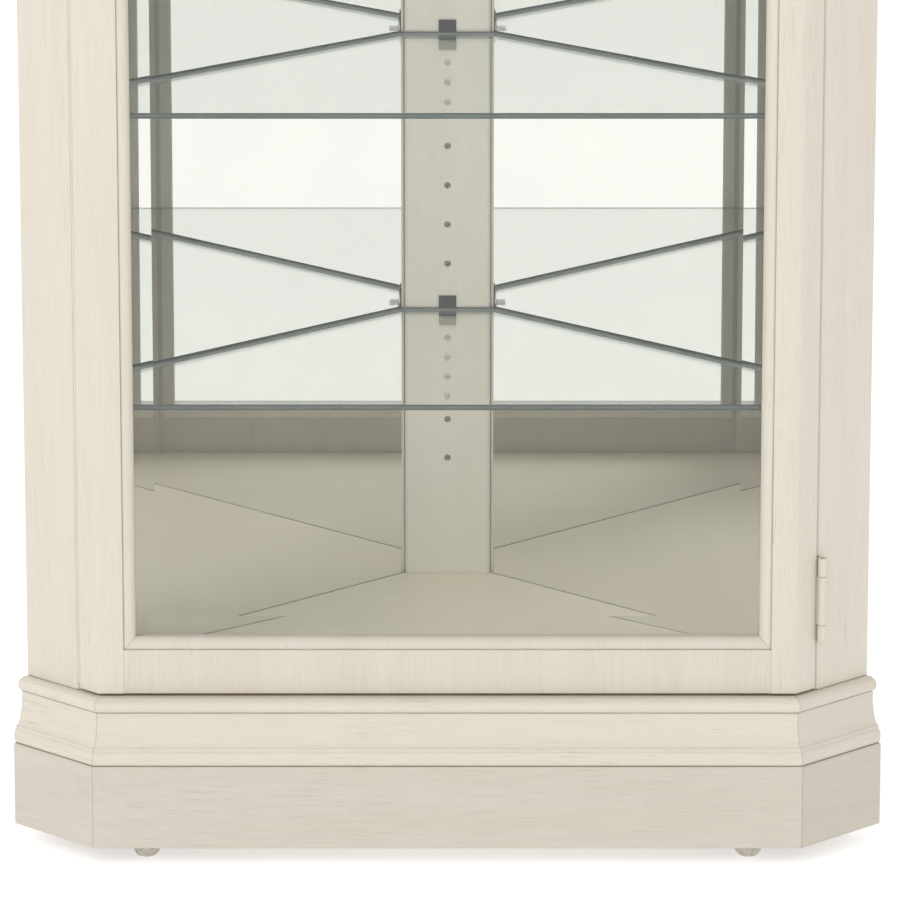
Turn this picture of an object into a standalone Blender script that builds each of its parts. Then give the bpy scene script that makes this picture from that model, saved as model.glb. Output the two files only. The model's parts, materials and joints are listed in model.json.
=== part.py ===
"""A corner curio cabinet: five-sided plan, one wide glazed door, mirrored backs and five glass shelves.

Plan coordinates are (x, depth): x across the front from the middle, depth back from the plinth's front face.
The two back walls meet at a right angle behind the cabinet, along x + depth = WALL_SUM and its mirror image.
The short sides run back from the front corners at 45 degrees, along x - depth = a constant.
"""

import math

import bmesh
import bpy
from mathutils import Matrix, Vector

# ---------------------------------------------------------------------------------------------
# Driving dimensions, in metres
# ---------------------------------------------------------------------------------------------
PLINTH_HALF = 0.312        # half the width of the plinth's front face
SIDE_RETURN = 0.073        # how far each 45 degree side runs sideways, and back, at the plinth
REAR_HALF = 0.018          # half the width of the flat that cuts the rear corner off

FOOT_HEIGHT = 0.015        # floor to the plinth's lower edge
PLINTH_HEIGHT = 0.075
BOARD = 0.018              # thickness of plinth boards and rails
BASE_MOULDING_HEIGHT = 0.059
DOOR_HEIGHT = 1.5455
CROWN_HEIGHT = 0.1295

DOOR_INSET = 0.0184        # plinth face back to the door's face
SIDE_INSET = 0.0171        # plinth side back to the side post's face
DOOR_THICK = 0.018
DOOR_CLEAR = 0.0025        # door to base ledge, and door to crown
DOOR_BEHIND = 0.0020       # door's rear face to the posts
STILE_FLAT = 0.0223
RAIL_FLAT = 0.0398
BEAD_WIDTH = 0.0107
BEAD_DEPTH = 0.0100        # door's face back to the glass seat
REBATE = 0.0070            # how far the glass runs in behind the bead
GLASS_THICK = 0.0040
GLASS_BEVEL = 0.0175       # width of the bevel that shows inside the bead

POST_THICK = 0.0270        # side posts, measured square to their faces
REAR_POST_HALF = 0.0373    # half the rear post's flat face
REAR_POST_PROUD = 0.0038   # its edge stands this far in front of the mirrors
RABBET_TUCK = 0.0080       # how far the mirrors run in behind that edge
BACKING = 0.0030
MIRROR = 0.0030
FLOOR_LOW = 0.0240         # underside of the floor panel to its top
FLOOR_STEP = 0.0060        # the inner floor stands this far above the base ledge
FLOOR_NOTCH = 0.0450       # half the width cut out of the floor panel for the rear post

SHELF_COUNT = 5
SHELF_THICK = 0.0050
HOLE_PITCH = 0.0370
FIRST_SHELF = 0.2471       # inner floor to the underside of the lowest shelf
SHELF_FRONT = 0.0435       # depth of the shelves' front edge
HOLE_R = 0.0032
HOLE_DEPTH = 0.0090
HOLE_COLUMNS = (0.0520, 0.0220)   # side post hole columns, in front of the mirror
HOLES_BELOW = 4            # holes below the lowest shelf's own
HOLE_TOP_CLEAR = 0.1000    # the highest hole is at least this far below the posts' top
PIN_RISE = 0.0120          # support hole above the shelf's underside
SUPPORT_PLATE = 0.0014
SUPPORT_UNDER = 0.0090     # how far a support's ledge reaches in under the glass
SUPPORT_LIFT = 0.0190      # height of its plate above the shelf's underside
SUPPORT_OFF = 0.0002       # plate to post

HINGE_COUNT = 3
HINGE_LENGTH = 0.0762
HINGE_INSET = 0.0430       # door's end to the hinge's end
KNUCKLES = (0.0155, 0.0437, 0.0170)   # bottom, middle, top
KNUCKLE_R = 0.0040
HINGE_PIN_R = 0.0020
LEAF_THICK = 0.0012
LEAF_WIDTH = 0.0240
KNUCKLE_STAND_OFF = 0.0005  # knuckle to the face of door and post
AXIS_FORWARD = 0.70        # hinge axis in front of the leaves, in knuckle radii

KNOB_RISE = 0.800          # door's lower edge to the knob
KNOB_R = 0.0080
LEVELLER_X = 0.266
LEVELLER_DEPTH = 0.030
LEVELLER_R = 0.0125
BOWL_BASE_R = 0.0070
BOWL_TOP = 0.0118          # rim of the foot's bowl above the floor
STEM_R = 0.0040
STEM_TOP = 0.0460
REAR_FOOT_INSET = 0.017    # rear flat to the rear foot's axis
BLOCK = (0.040, 0.033, 0.045)
BLOCK_RAISE = 0.005        # plinth's lower edge to the blocks

# Named clearances
GAP = 0.0003               # between pieces that touch
SEAM = 0.0004              # open mitre line between two mouldings
RUNNING = 0.00008          # pin in knuckle, stem in block, on the radius
MIRROR_END = 0.0005        # mirror and backing ends
LIP_GAP = 0.0008           # mirrors to the rear post's rabbet
RAIL_END_GAP = 0.0010      # wall rails to the rear post
GLASS_EDGE_GAP = 0.0010    # door glass to the end of its rebate
FLOOR_SHADOW = 0.0010      # inner floor to the mirrors
SHELF_SIDE_CLEAR = 0.0022
SHELF_BACK_CLEAR = 0.0025
CUT_OVER = 0.0030          # cutters start this far outside the face they cut

# ---------------------------------------------------------------------------------------------
# Derived levels and lines
# ---------------------------------------------------------------------------------------------
ROOT2 = math.sqrt(2)
TAN = math.tan(math.radians(22.5))
WALL_SUM = PLINTH_HALF + 2 * SIDE_RETURN
REAR_DEPTH = WALL_SUM - REAR_HALF
MIDDLE = REAR_DEPTH / 2                       # world y = depth - MIDDLE

PLINTH_TOP = FOOT_HEIGHT + PLINTH_HEIGHT
LEDGE = PLINTH_TOP + BASE_MOULDING_HEIGHT
DOOR_BOTTOM = LEDGE + DOOR_CLEAR
DOOR_TOP = DOOR_BOTTOM + DOOR_HEIGHT
CARCASS_TOP = DOOR_TOP + DOOR_CLEAR
FLOOR_TOP = LEDGE + FLOOR_STEP
FLOOR_BOTTOM = FLOOR_TOP - FLOOR_LOW

DOOR_REAR = DOOR_INSET + DOOR_THICK
POST_FRONT = DOOR_REAR + DOOR_BEHIND
SIDE_FACE = PLINTH_HALF - SIDE_INSET * ROOT2            # x - depth on the posts' outer face
SIDE_INNER = SIDE_FACE - POST_THICK * ROOT2             # and on their inner face
MIRROR_FACE = WALL_SUM - (BACKING + GAP + MIRROR) * ROOT2   # x + depth on the mirrors' front
REAR_POST_DEPTH = MIRROR_FACE - REAR_POST_PROUD * ROOT2 - REAR_POST_HALF
RABBET_SIDE = REAR_POST_HALF - REAR_POST_DEPTH - RABBET_TUCK * ROOT2   # x - depth where the rabbets end

SIGHT_X = SIDE_FACE + DOOR_INSET - STILE_FLAT - BEAD_WIDTH
STILE_IN = SIGHT_X + BEAD_WIDTH
SIGHT_LOW = DOOR_BOTTOM + RAIL_FLAT + BEAD_WIDTH
SIGHT_HIGH = DOOR_TOP - RAIL_FLAT - BEAD_WIDTH

LEAF_MIDDLE = (DOOR_REAR + POST_FRONT) / 2
HINGE_DEPTH = LEAF_MIDDLE - AXIS_FORWARD * KNUCKLE_R
HINGE_X = SIDE_FACE + HINGE_DEPTH + (KNUCKLE_R + KNUCKLE_STAND_OFF) * ROOT2
SHELF_SIDE = SIDE_INNER - SHELF_SIDE_CLEAR * ROOT2
SHELF_WALL = MIRROR_FACE - SHELF_BACK_CLEAR * ROOT2
SHELF_REAR = REAR_POST_DEPTH - SHELF_BACK_CLEAR
SHELF_STEP = round((CARCASS_TOP - FLOOR_TOP - FIRST_SHELF) / SHELF_COUNT / HOLE_PITCH)
SHELF_GAP = SHELF_STEP * HOLE_PITCH
SHELF_LEVELS = [FLOOR_TOP + FIRST_SHELF + i * SHELF_GAP for i in range(SHELF_COUNT)]


def meet(side, wall):
    """The plan point where x - depth = side meets x + depth = wall."""
    return ((wall + side) / 2, (wall - side) / 2)


def corner(inset):
    """The front corner of the plan at this inset."""
    return (PLINTH_HALF - inset * TAN, inset)


def wall_end(inset):
    return meet(PLINTH_HALF - inset * ROOT2, WALL_SUM)


def both_sides(right):
    """A closed outline from its right half, listed front to rear."""
    return right + [(-x, depth) for x, depth in reversed(right) if x > 1e-9]


# ---------------------------------------------------------------------------------------------
# Scene, collections and materials
# ---------------------------------------------------------------------------------------------
for old in list(bpy.data.objects):
    bpy.data.objects.remove(old, do_unlink=True)
parts = bpy.data.collections.new("corner_curio_cabinet")
cutters = bpy.data.collections.new("cutters")
for group in (parts, cutters):
    bpy.context.scene.collection.children.link(group)

FINISHES = {
    "paint": ((0.78, 0.73, 0.63, 1), 0.55, 0.0),
    "inner_paint": ((0.80, 0.78, 0.72, 1), 0.50, 0.0),
    "board": ((0.42, 0.33, 0.23, 1), 0.75, 0.0),
    "mirror": ((0.86, 0.88, 0.87, 1), 0.04, 1.0),
    "glass": ((0.72, 0.84, 0.80, 1), 0.05, 0.0),
    "steel": ((0.45, 0.42, 0.37, 1), 0.35, 1.0),
    "black": ((0.02, 0.02, 0.02, 1), 0.60, 0.0),
    "clear_plastic": ((0.72, 0.68, 0.60, 1), 0.30, 0.0),
}


def finish(obj, kind):
    colour, roughness, metallic = FINISHES[kind]
    material = bpy.data.materials.new(obj.name)
    material.use_nodes = True
    shader = material.node_tree.nodes["Principled BSDF"]
    shader.inputs["Base Color"].default_value = colour
    shader.inputs["Roughness"].default_value = roughness
    shader.inputs["Metallic"].default_value = metallic
    obj.data.materials.append(material)


def new_object(name, mesh, kind=None):
    """A part with its finish or, with no finish given, a hidden cutter."""
    obj = bpy.data.objects.new(name, mesh)
    (parts if kind else cutters).objects.link(obj)
    if kind:
        finish(obj, kind)
    else:
        obj.hide_render = True
        obj.display_type = "WIRE"
    return obj


# ---------------------------------------------------------------------------------------------
# Shapes
# ---------------------------------------------------------------------------------------------
def mesh_from(name, work):
    bmesh.ops.recalc_face_normals(work, faces=work.faces)
    mesh = bpy.data.meshes.new(name)
    work.to_mesh(mesh)
    work.free()
    return mesh


def board(name, outline, low, high, kind=None):
    """A plan outline, extruded from one level to another."""
    curve = bpy.data.curves.new(name + "_outline", "CURVE")
    curve.dimensions = "2D"
    curve.fill_mode = "BOTH"
    curve.extrude = (high - low) / 2
    spline = curve.splines.new("POLY")
    spline.points.add(len(outline) - 1)
    for point, (x, depth) in zip(spline.points, outline):
        point.co = (x, depth - MIDDLE, 0, 1)
    spline.use_cyclic_u = True
    guide = bpy.data.objects.new(name + "_outline", curve)
    cutters.objects.link(guide)
    mesh = bpy.data.meshes.new_from_object(guide.evaluated_get(bpy.context.evaluated_depsgraph_get()))
    bpy.data.objects.remove(guide, do_unlink=True)
    work = bmesh.new()
    work.from_mesh(mesh)
    bpy.data.meshes.remove(mesh)
    bmesh.ops.remove_doubles(work, verts=work.verts, dist=1e-6)
    bmesh.ops.translate(work, verts=work.verts, vec=(0, 0, (low + high) / 2))
    return new_object(name, mesh_from(name, work), kind)


def rings(name, loops, kind=None):
    """A solid through matching loops of (x, depth, z) points, capped at its two ends."""
    work = bmesh.new()
    rows = [[work.verts.new((x, depth - MIDDLE, z)) for x, depth, z in loop] for loop in loops]
    for first, second in zip(rows, rows[1:]):
        for i in range(len(first)):
            j = (i + 1) % len(first)
            work.faces.new((first[i], first[j], second[j], second[i]))
    work.faces.new(rows[0])
    work.faces.new(rows[-1])
    return new_object(name, mesh_from(name, work), kind)


def box(name, x, depth, z, kind=None):
    work = bmesh.new()
    size = Matrix.Diagonal((x[1] - x[0], depth[1] - depth[0], z[1] - z[0], 1))
    place = Matrix.Translation((sum(x) / 2, sum(depth) / 2 - MIDDLE, sum(z) / 2))
    bmesh.ops.create_cube(work, size=1, matrix=place @ size)
    return new_object(name, mesh_from(name, work), kind)


def cylinders(name, radius, sides, rods, kind=None):
    """Separate rods in one mesh, each from a start point along a direction for a length."""
    work = bmesh.new()
    for (x, depth, z), direction, length in rods:
        turn = Vector(direction).normalized().to_track_quat("Z", "Y").to_matrix().to_4x4()
        start = Matrix.Translation((x, depth - MIDDLE, z))
        bmesh.ops.create_cone(
            work, cap_ends=True, segments=sides, radius1=radius, radius2=radius, depth=length,
            matrix=start @ turn @ Matrix.Translation((0, 0, length / 2)),
        )
    return new_object(name, mesh_from(name, work), kind)


def lathe(name, profile, steps, kind):
    """A profile of (radius, z), listed top to bottom, turned about the z axis."""
    mesh = bpy.data.meshes.new(name)
    edges = [(i, i + 1) for i in range(len(profile) - 1)]
    mesh.from_pydata([(r, 0, z) for r, z in profile], edges, [])
    obj = new_object(name, mesh, kind)
    screw = obj.modifiers.new("turn", "SCREW")
    screw.axis = "Z"
    screw.steps = screw.render_steps = steps
    screw.use_merge_vertices = True
    screw.merge_threshold = 1e-5
    screw.use_smooth_shade = True
    return obj


def combine(obj, other, operation):
    change = obj.modifiers.new(other.name, "BOOLEAN")
    change.operation = operation
    change.solver = "EXACT"
    change.object = other


def soften(obj, width):
    """Breaks the sharp edges of a board."""
    edge = obj.modifiers.new("edges", "BEVEL")
    edge.width = width
    edge.segments = 1
    edge.limit_method = "ANGLE"
    edge.angle_limit = math.radians(30)


def mirrored(name, source, kind):
    """The left hand copy of a right hand piece, with its own cutters."""
    mesh = source.data.copy()
    mesh.transform(Matrix.Diagonal((-1, 1, 1, 1)))
    mesh.flip_normals()
    if kind:
        mesh.materials.clear()
    obj = new_object(name, mesh, kind)
    for old in source.modifiers:
        if old.type == "BOOLEAN":
            combine(obj, mirrored(old.object.name + "_left", old.object, None), old.operation)
        else:
            soften(obj, old.width)
    return obj


# ---------------------------------------------------------------------------------------------
# Base: plinth, rails, levellers, moulding and floor
# ---------------------------------------------------------------------------------------------
def moulding_run(prefix, profile, kind):
    """Front, left and right pieces of one (inset, z) profile, mitred at the front corners."""
    step = SEAM / 2 / ROOT2

    def right_end(inset, z):
        x, depth = corner(inset)
        return (x - SEAM / 2, depth, z)

    def side_start(inset, z):
        x, depth = corner(inset)
        return (x + step, depth + step, z)

    ends = [right_end(*point) for point in profile]
    starts = [(-x, depth, z) for x, depth, z in ends]
    rings(prefix + "_front", [starts, ends], kind)
    right = rings(
        prefix + "_right",
        [[side_start(*point) for point in profile], [(*wall_end(inset), z) for inset, z in profile]],
        kind,
    )
    mirrored(prefix + "_left", right, kind)


def arc(start, end, count, hollow=False):
    """Points from start to end along a quarter ellipse: level at the start, upright at the end."""
    found = []
    for i in range(count + 1):
        a = math.radians(90 * i / count)
        across, up = (math.sin(a), 1 - math.cos(a)) if not hollow else (1 - math.cos(a), math.sin(a))
        found.append((start[0] + (end[0] - start[0]) * across, start[1] + (end[1] - start[1]) * up))
    return found


plinth_top = PLINTH_TOP - GAP
moulding_run(
    "plinth",
    [(0, FOOT_HEIGHT), (0, plinth_top - 0.0016), (0.0005, plinth_top - 0.0005), (0.0016, plinth_top),
     (BOARD, plinth_top), (BOARD, FOOT_HEIGHT)],
    "paint",
)

COVE_LOW, COVE_HIGH = PLINTH_TOP + 0.0155, LEDGE - 0.0145
base_profile = [
    (0.0024, PLINTH_TOP), (0.0010, PLINTH_TOP + 0.0016), (0.0005, PLINTH_TOP + 0.0045),
    (0.0005, PLINTH_TOP + 0.0100), (0.0011, PLINTH_TOP + 0.0130), (0.0026, PLINTH_TOP + 0.0148),
    *arc((0.0034, COVE_LOW), (0.0108, COVE_HIGH), 6),
    (0.0105, LEDGE - 0.0128), (0.0090, LEDGE - 0.0118), (0.0072, LEDGE - 0.0104), (0.0062, LEDGE - 0.0075),
    (0.0066, LEDGE - 0.0045), (0.0084, LEDGE - 0.0016), (0.0112, LEDGE),
    (BOARD, LEDGE), (BOARD, FLOOR_BOTTOM - GAP), (2 * BOARD, FLOOR_BOTTOM - GAP), (2 * BOARD, PLINTH_TOP),
]
moulding_run("base_moulding", base_profile, "paint")

rail_side = PLINTH_HALF - (BOARD + GAP) * ROOT2
rail_inner = WALL_SUM - BOARD * ROOT2
rail_stop = REAR_POST_HALF + REAR_POST_PROUD / ROOT2 + RAIL_END_GAP
wall_rail = board(
    "wall_rail_right",
    [meet(rail_side, WALL_SUM), (rail_stop, WALL_SUM - rail_stop), (rail_stop, rail_inner - rail_stop),
     meet(rail_side, rail_inner)],
    FOOT_HEIGHT, FLOOR_BOTTOM - GAP, "board",
)
# The base moulding's back stands proud of the plinth boards, so the rail is notched round it.
notch_side = PLINTH_HALF - (2 * BOARD + GAP) * ROOT2
notch_end, notch_outer, notch_inner = notch_side + 4 * BOARD, WALL_SUM + BOARD, rail_inner - BOARD
notch = board(
    "rail_notch",
    [meet(notch_side, notch_outer), meet(notch_side, notch_inner), meet(notch_end, notch_inner),
     meet(notch_end, notch_outer)],
    PLINTH_TOP - GAP, LEDGE,
)
combine(wall_rail, notch, "DIFFERENCE")
mirrored("wall_rail_left", wall_rail, "board")

block = box(
    "corner_block_right",
    (LEVELLER_X - BLOCK[0] / 2, LEVELLER_X + BLOCK[0] / 2),
    (BOARD + GAP, BOARD + GAP + BLOCK[1]),
    (FOOT_HEIGHT + BLOCK_RAISE, FOOT_HEIGHT + BLOCK_RAISE + BLOCK[2]),
    "board",
)
bore = cylinders(
    "block_bore", STEM_R + RUNNING, 16, [((LEVELLER_X, LEVELLER_DEPTH, 0), (0, 0, 1), PLINTH_TOP)]
)
combine(block, bore, "DIFFERENCE")
mirrored("corner_block_left", block, "board")

REAR_FOOT_DEPTH = REAR_DEPTH - REAR_FOOT_INSET
LEVELLERS = {
    "leveller_left": (-LEVELLER_X, LEVELLER_DEPTH),
    "leveller_right": (LEVELLER_X, LEVELLER_DEPTH),
    "leveller_rear": (0, REAR_FOOT_DEPTH),
}
bowl = []
for i in range(6):
    turn = math.radians(15 * i)
    bowl.append((
        BOWL_BASE_R + (LEVELLER_R - BOWL_BASE_R) * math.cos(turn), BOWL_TOP * (1 - math.sin(turn)),
    ))
stem_foot = BOWL_TOP + 0.0008
for name, (x, depth) in LEVELLERS.items():
    foot = lathe(
        name,
        [(0, STEM_TOP), (STEM_R, STEM_TOP), (STEM_R, stem_foot), (LEVELLER_R - 0.0012, stem_foot),
         *bowl, (BOWL_BASE_R - 0.0005, 0), (0, 0)],
        16, "clear_plastic",
    )
    foot.location = (x, depth - MIDDLE, 0)

floor = board(
    "floor_panel",
    both_sides([corner(BOARD + GAP), wall_end(BOARD + GAP), (FLOOR_NOTCH, WALL_SUM - FLOOR_NOTCH),
                (FLOOR_NOTCH, REAR_POST_DEPTH - GAP)]),
    FLOOR_BOTTOM, LEDGE, "inner_paint",
)
floor_side = SIDE_INNER - GAP * ROOT2
floor_wall = MIRROR_FACE - FLOOR_SHADOW * ROOT2
floor_rear = REAR_POST_DEPTH - GAP
inner_floor = board(
    "inner_floor",
    both_sides([(floor_side + POST_FRONT, POST_FRONT), meet(floor_side, floor_wall),
                (floor_wall - floor_rear, floor_rear)]),
    LEDGE - 0.002, FLOOR_TOP,
)
combine(floor, inner_floor, "UNION")

# ---------------------------------------------------------------------------------------------
# Posts, mirrors and backs
# ---------------------------------------------------------------------------------------------
POST_LOW, POST_HIGH = LEDGE + GAP, CARCASS_TOP - GAP
FIRST_HOLE = SHELF_LEVELS[0] + PIN_RISE - HOLES_BELOW * HOLE_PITCH
HOLE_COUNT = 1 + int((POST_HIGH - HOLE_TOP_CLEAR - FIRST_HOLE) / HOLE_PITCH)
HOLE_LEVELS = [FIRST_HOLE + i * HOLE_PITCH for i in range(HOLE_COUNT)]
INTO_POST = (1 / ROOT2, -1 / ROOT2, 0)

post = board(
    "side_post_right",
    [(SIDE_INNER + POST_FRONT, POST_FRONT), (SIDE_FACE + POST_FRONT, POST_FRONT),
     meet(SIDE_FACE, WALL_SUM), meet(SIDE_INNER, WALL_SUM)],
    POST_LOW, POST_HIGH, "paint",
)
soften(post, 0.0008)


def column_point(before_mirror):
    """A point of the side post's inner face, this far in front of the mirror."""
    return meet(SIDE_INNER, MIRROR_FACE - before_mirror * ROOT2)


post_holes = []
for before_mirror in HOLE_COLUMNS:
    x, depth = column_point(before_mirror)
    for z in HOLE_LEVELS:
        start = (x - CUT_OVER * INTO_POST[0], depth - CUT_OVER * INTO_POST[1], z)
        post_holes.append((start, INTO_POST, HOLE_DEPTH + CUT_OVER))
combine(post, cylinders("side_post_holes", HOLE_R, 8, post_holes), "DIFFERENCE")
mirrored("side_post_left", post, "paint")

lip = meet(REAR_POST_HALF - REAR_POST_DEPTH, MIRROR_FACE - LIP_GAP)
rabbet_top = meet(RABBET_SIDE, MIRROR_FACE - LIP_GAP)
rear_post = board(
    "rear_post",
    both_sides([(REAR_POST_HALF, REAR_POST_DEPTH), lip, rabbet_top, meet(RABBET_SIDE, WALL_SUM),
                (REAR_HALF, REAR_DEPTH)]),
    FOOT_HEIGHT, POST_HIGH, "paint",
)
rear_holes = [
    ((0, REAR_POST_DEPTH - CUT_OVER, z), (0, 1, 0), HOLE_DEPTH + CUT_OVER) for z in HOLE_LEVELS
]
combine(rear_post, cylinders("rear_post_holes", HOLE_R, 8, rear_holes), "DIFFERENCE")
rear_bore = cylinders(
    "rear_post_bore", STEM_R + RUNNING, 16, [((0, REAR_FOOT_DEPTH, 0), (0, 0, 1), STEM_TOP + 0.020)]
)
combine(rear_post, rear_bore, "DIFFERENCE")


def wall_sheet(name, near, far, kind):
    """A sheet along the right hand wall, from near to far in front of it, between the posts."""
    outer, inner = WALL_SUM - near * ROOT2, WALL_SUM - far * ROOT2
    side, rear = SIDE_INNER - MIRROR_END * ROOT2, RABBET_SIDE + MIRROR_END * ROOT2
    right = board(
        name + "_right",
        [meet(side, outer), meet(rear, outer), meet(rear, inner), meet(side, inner)],
        POST_LOW, POST_HIGH, kind,
    )
    mirrored(name + "_left", right, kind)


wall_sheet("back_panel", 0, BACKING, "board")
wall_sheet("mirror", BACKING + GAP, BACKING + GAP + MIRROR, "mirror")

# ---------------------------------------------------------------------------------------------
# Crown
# ---------------------------------------------------------------------------------------------
def crown_point(inset_mm, rise_mm):
    return (inset_mm / 1000, CARCASS_TOP + rise_mm / 129.5 * CROWN_HEIGHT)


moulding_run(
    "crown",
    [crown_point(*point) for point in (
        (11.4, 0), (8.6, 1.4), (6.7, 4.2), (6.2, 7.2), (7.0, 10.2), (9.0, 12.2), (10.8, 13.6),
        (10.8, 60.0), (9.4, 60.8), (9.4, 65.0), (9.2, 71.0), (8.2, 78.0), (6.2, 84.5), (3.4, 89.5),
        (2.6, 90.4), (2.6, 93.4), (1.0, 94.6), (0.2, 97.4), (0, 101.0), (0, 126.4), (0.8, 128.6),
        (2.6, 129.5), (36.0, 129.5), (36.0, 0),
    )],
    "paint",
)
ceiling_inset = 2 * BOARD + GAP
board(
    "ceiling_panel",
    both_sides([corner(ceiling_inset), wall_end(ceiling_inset), (REAR_HALF, REAR_DEPTH)]),
    CARCASS_TOP, CARCASS_TOP + BOARD, "inner_paint",
)

# ---------------------------------------------------------------------------------------------
# Door
# ---------------------------------------------------------------------------------------------
def bead_section():
    """The door's inner edge as (distance from the sight edge, depth behind the door's face)."""
    shoulder = (BEAD_WIDTH - 0.0012, 0.0012)
    foot = (0, BEAD_DEPTH - 0.0012)
    curve = []
    for i in range(6):
        a = math.radians(18 * i)
        back = foot[1] - (foot[1] - shoulder[1]) * math.cos(a)
        curve.append((shoulder[0] * (1 - math.sin(a)), back))
    return [(BEAD_WIDTH, 0), (BEAD_WIDTH, 0.0014), *curve, (0, BEAD_DEPTH), (REBATE, BEAD_DEPTH),
            (REBATE, DOOR_THICK)]


def upright_wedge(name, low, high):
    """Clears the bead off a stile beyond its two mitres."""
    outer, reach = STILE_IN - GAP / 2, 0.060
    return [
        rings(
            f"{name}_{end}",
            [[(outer, depth, z0), (outer - reach, depth, z0 + turn * reach), (outer - reach, depth, z1),
              (outer, depth, z1)] for depth in (0, 0.08)],
        )
        for end, z0, z1, turn in (("low", low, low - 0.08, 1), ("high", high, high + 0.08, -1))
    ]


MITRE_LOW, MITRE_HIGH = DOOR_BOTTOM + RAIL_FLAT, DOOR_TOP - RAIL_FLAT
stile_section = [(SIDE_FACE + DOOR_INSET, DOOR_INSET)]
stile_section += [(SIGHT_X + across, DOOR_INSET + back) for across, back in bead_section()]
stile_section += [(SIDE_FACE + DOOR_REAR, DOOR_REAR)]
stile = board("door_stile_right", stile_section, DOOR_BOTTOM, DOOR_TOP, "paint")
for wedge in upright_wedge("stile_mitre", MITRE_LOW + GAP / 2, MITRE_HIGH - GAP / 2):
    combine(stile, wedge, "DIFFERENCE")
mirrored("door_stile_left", stile, "paint")

rail_end = STILE_IN - GAP
for name, edge, sight, turn in (
    ("door_rail_bottom", DOOR_BOTTOM, SIGHT_LOW, 1),
    ("door_rail_top", DOOR_TOP, SIGHT_HIGH, -1),
):
    section = [(DOOR_INSET, edge)]
    section += [(DOOR_INSET + back, sight - turn * across) for across, back in bead_section()]
    section += [(DOOR_REAR, edge)]
    rail = rings(
        name, [[(x, depth, z) for depth, z in section] for x in (-rail_end, rail_end)], "paint"
    )
    for side in (-1, 1):
        foot = sight - turn * (BEAD_WIDTH + GAP)
        wedge = rings(
            f"{name}_mitre_{'left' if side < 0 else 'right'}",
            [[(side * rail_end, depth, foot), (side * (rail_end - 0.06), depth, foot + turn * 0.06),
              (side * (rail_end + 0.06), depth, foot + turn * 0.06), (side * (rail_end + 0.06), depth, foot)]
             for depth in (0, 0.08)],
        )
        combine(rail, wedge, "DIFFERENCE")

glass_over = REBATE - GLASS_EDGE_GAP
glass_x = SIGHT_X + glass_over
glass_low, glass_high = SIGHT_LOW - glass_over, SIGHT_HIGH + glass_over
glass_front = DOOR_INSET + BEAD_DEPTH + GAP
bevel_in = GLASS_BEVEL + glass_over


def glass_loop(inward, depth):
    x, low, high = glass_x - inward, glass_low + inward, glass_high - inward
    return [(-x, depth, low), (x, depth, low), (x, depth, high), (-x, depth, high)]


rings(
    "door_glass",
    [glass_loop(0, glass_front + GLASS_THICK), glass_loop(0, glass_front + 0.0018),
     glass_loop(bevel_in, glass_front)],
    "glass",
)

knob = lathe(
    "door_knob",
    [(0, 0.0176), (0.0035, 0.0173), (0.0062, 0.0160), (KNOB_R, 0.0135), (KNOB_R, 0.0115),
     (0.0064, 0.0092), (0.0045, 0.0076), (0.0040, 0.0040), (0.0062, 0.0012), (0.0062, GAP), (0, GAP)],
    16, "steel",
)
knob.rotation_euler = (math.radians(90), 0, 0)
knob.location = (-(SIGHT_X + BEAD_WIDTH + STILE_FLAT / 2), DOOR_INSET - MIDDLE, DOOR_BOTTOM + KNOB_RISE)

# ---------------------------------------------------------------------------------------------
# Hinges: each a frame leaf, a door leaf and a pin on the door's axis
# ---------------------------------------------------------------------------------------------
LEAF_IN = SIDE_FACE + DOOR_REAR - LEAF_WIDTH
door_leaf_depth = (LEAF_MIDDLE - GAP / 2 - LEAF_THICK, LEAF_MIDDLE - GAP / 2)
frame_leaf_depth = (LEAF_MIDDLE + GAP / 2, LEAF_MIDDLE + GAP / 2 + LEAF_THICK)
first = DOOR_BOTTOM + HINGE_INSET
last = DOOR_TOP - HINGE_INSET - HINGE_LENGTH
HINGE_LEVELS = [first + i * (last - first) / (HINGE_COUNT - 1) for i in range(HINGE_COUNT)]
UP = (0, 0, 1)


def knuckle_cut(name, low, high):
    reach = KNUCKLE_R + 0.0005
    return box(
        name, (HINGE_X - reach, HINGE_X + reach), (HINGE_DEPTH - reach, HINGE_DEPTH + reach), (low, high)
    )


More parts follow.
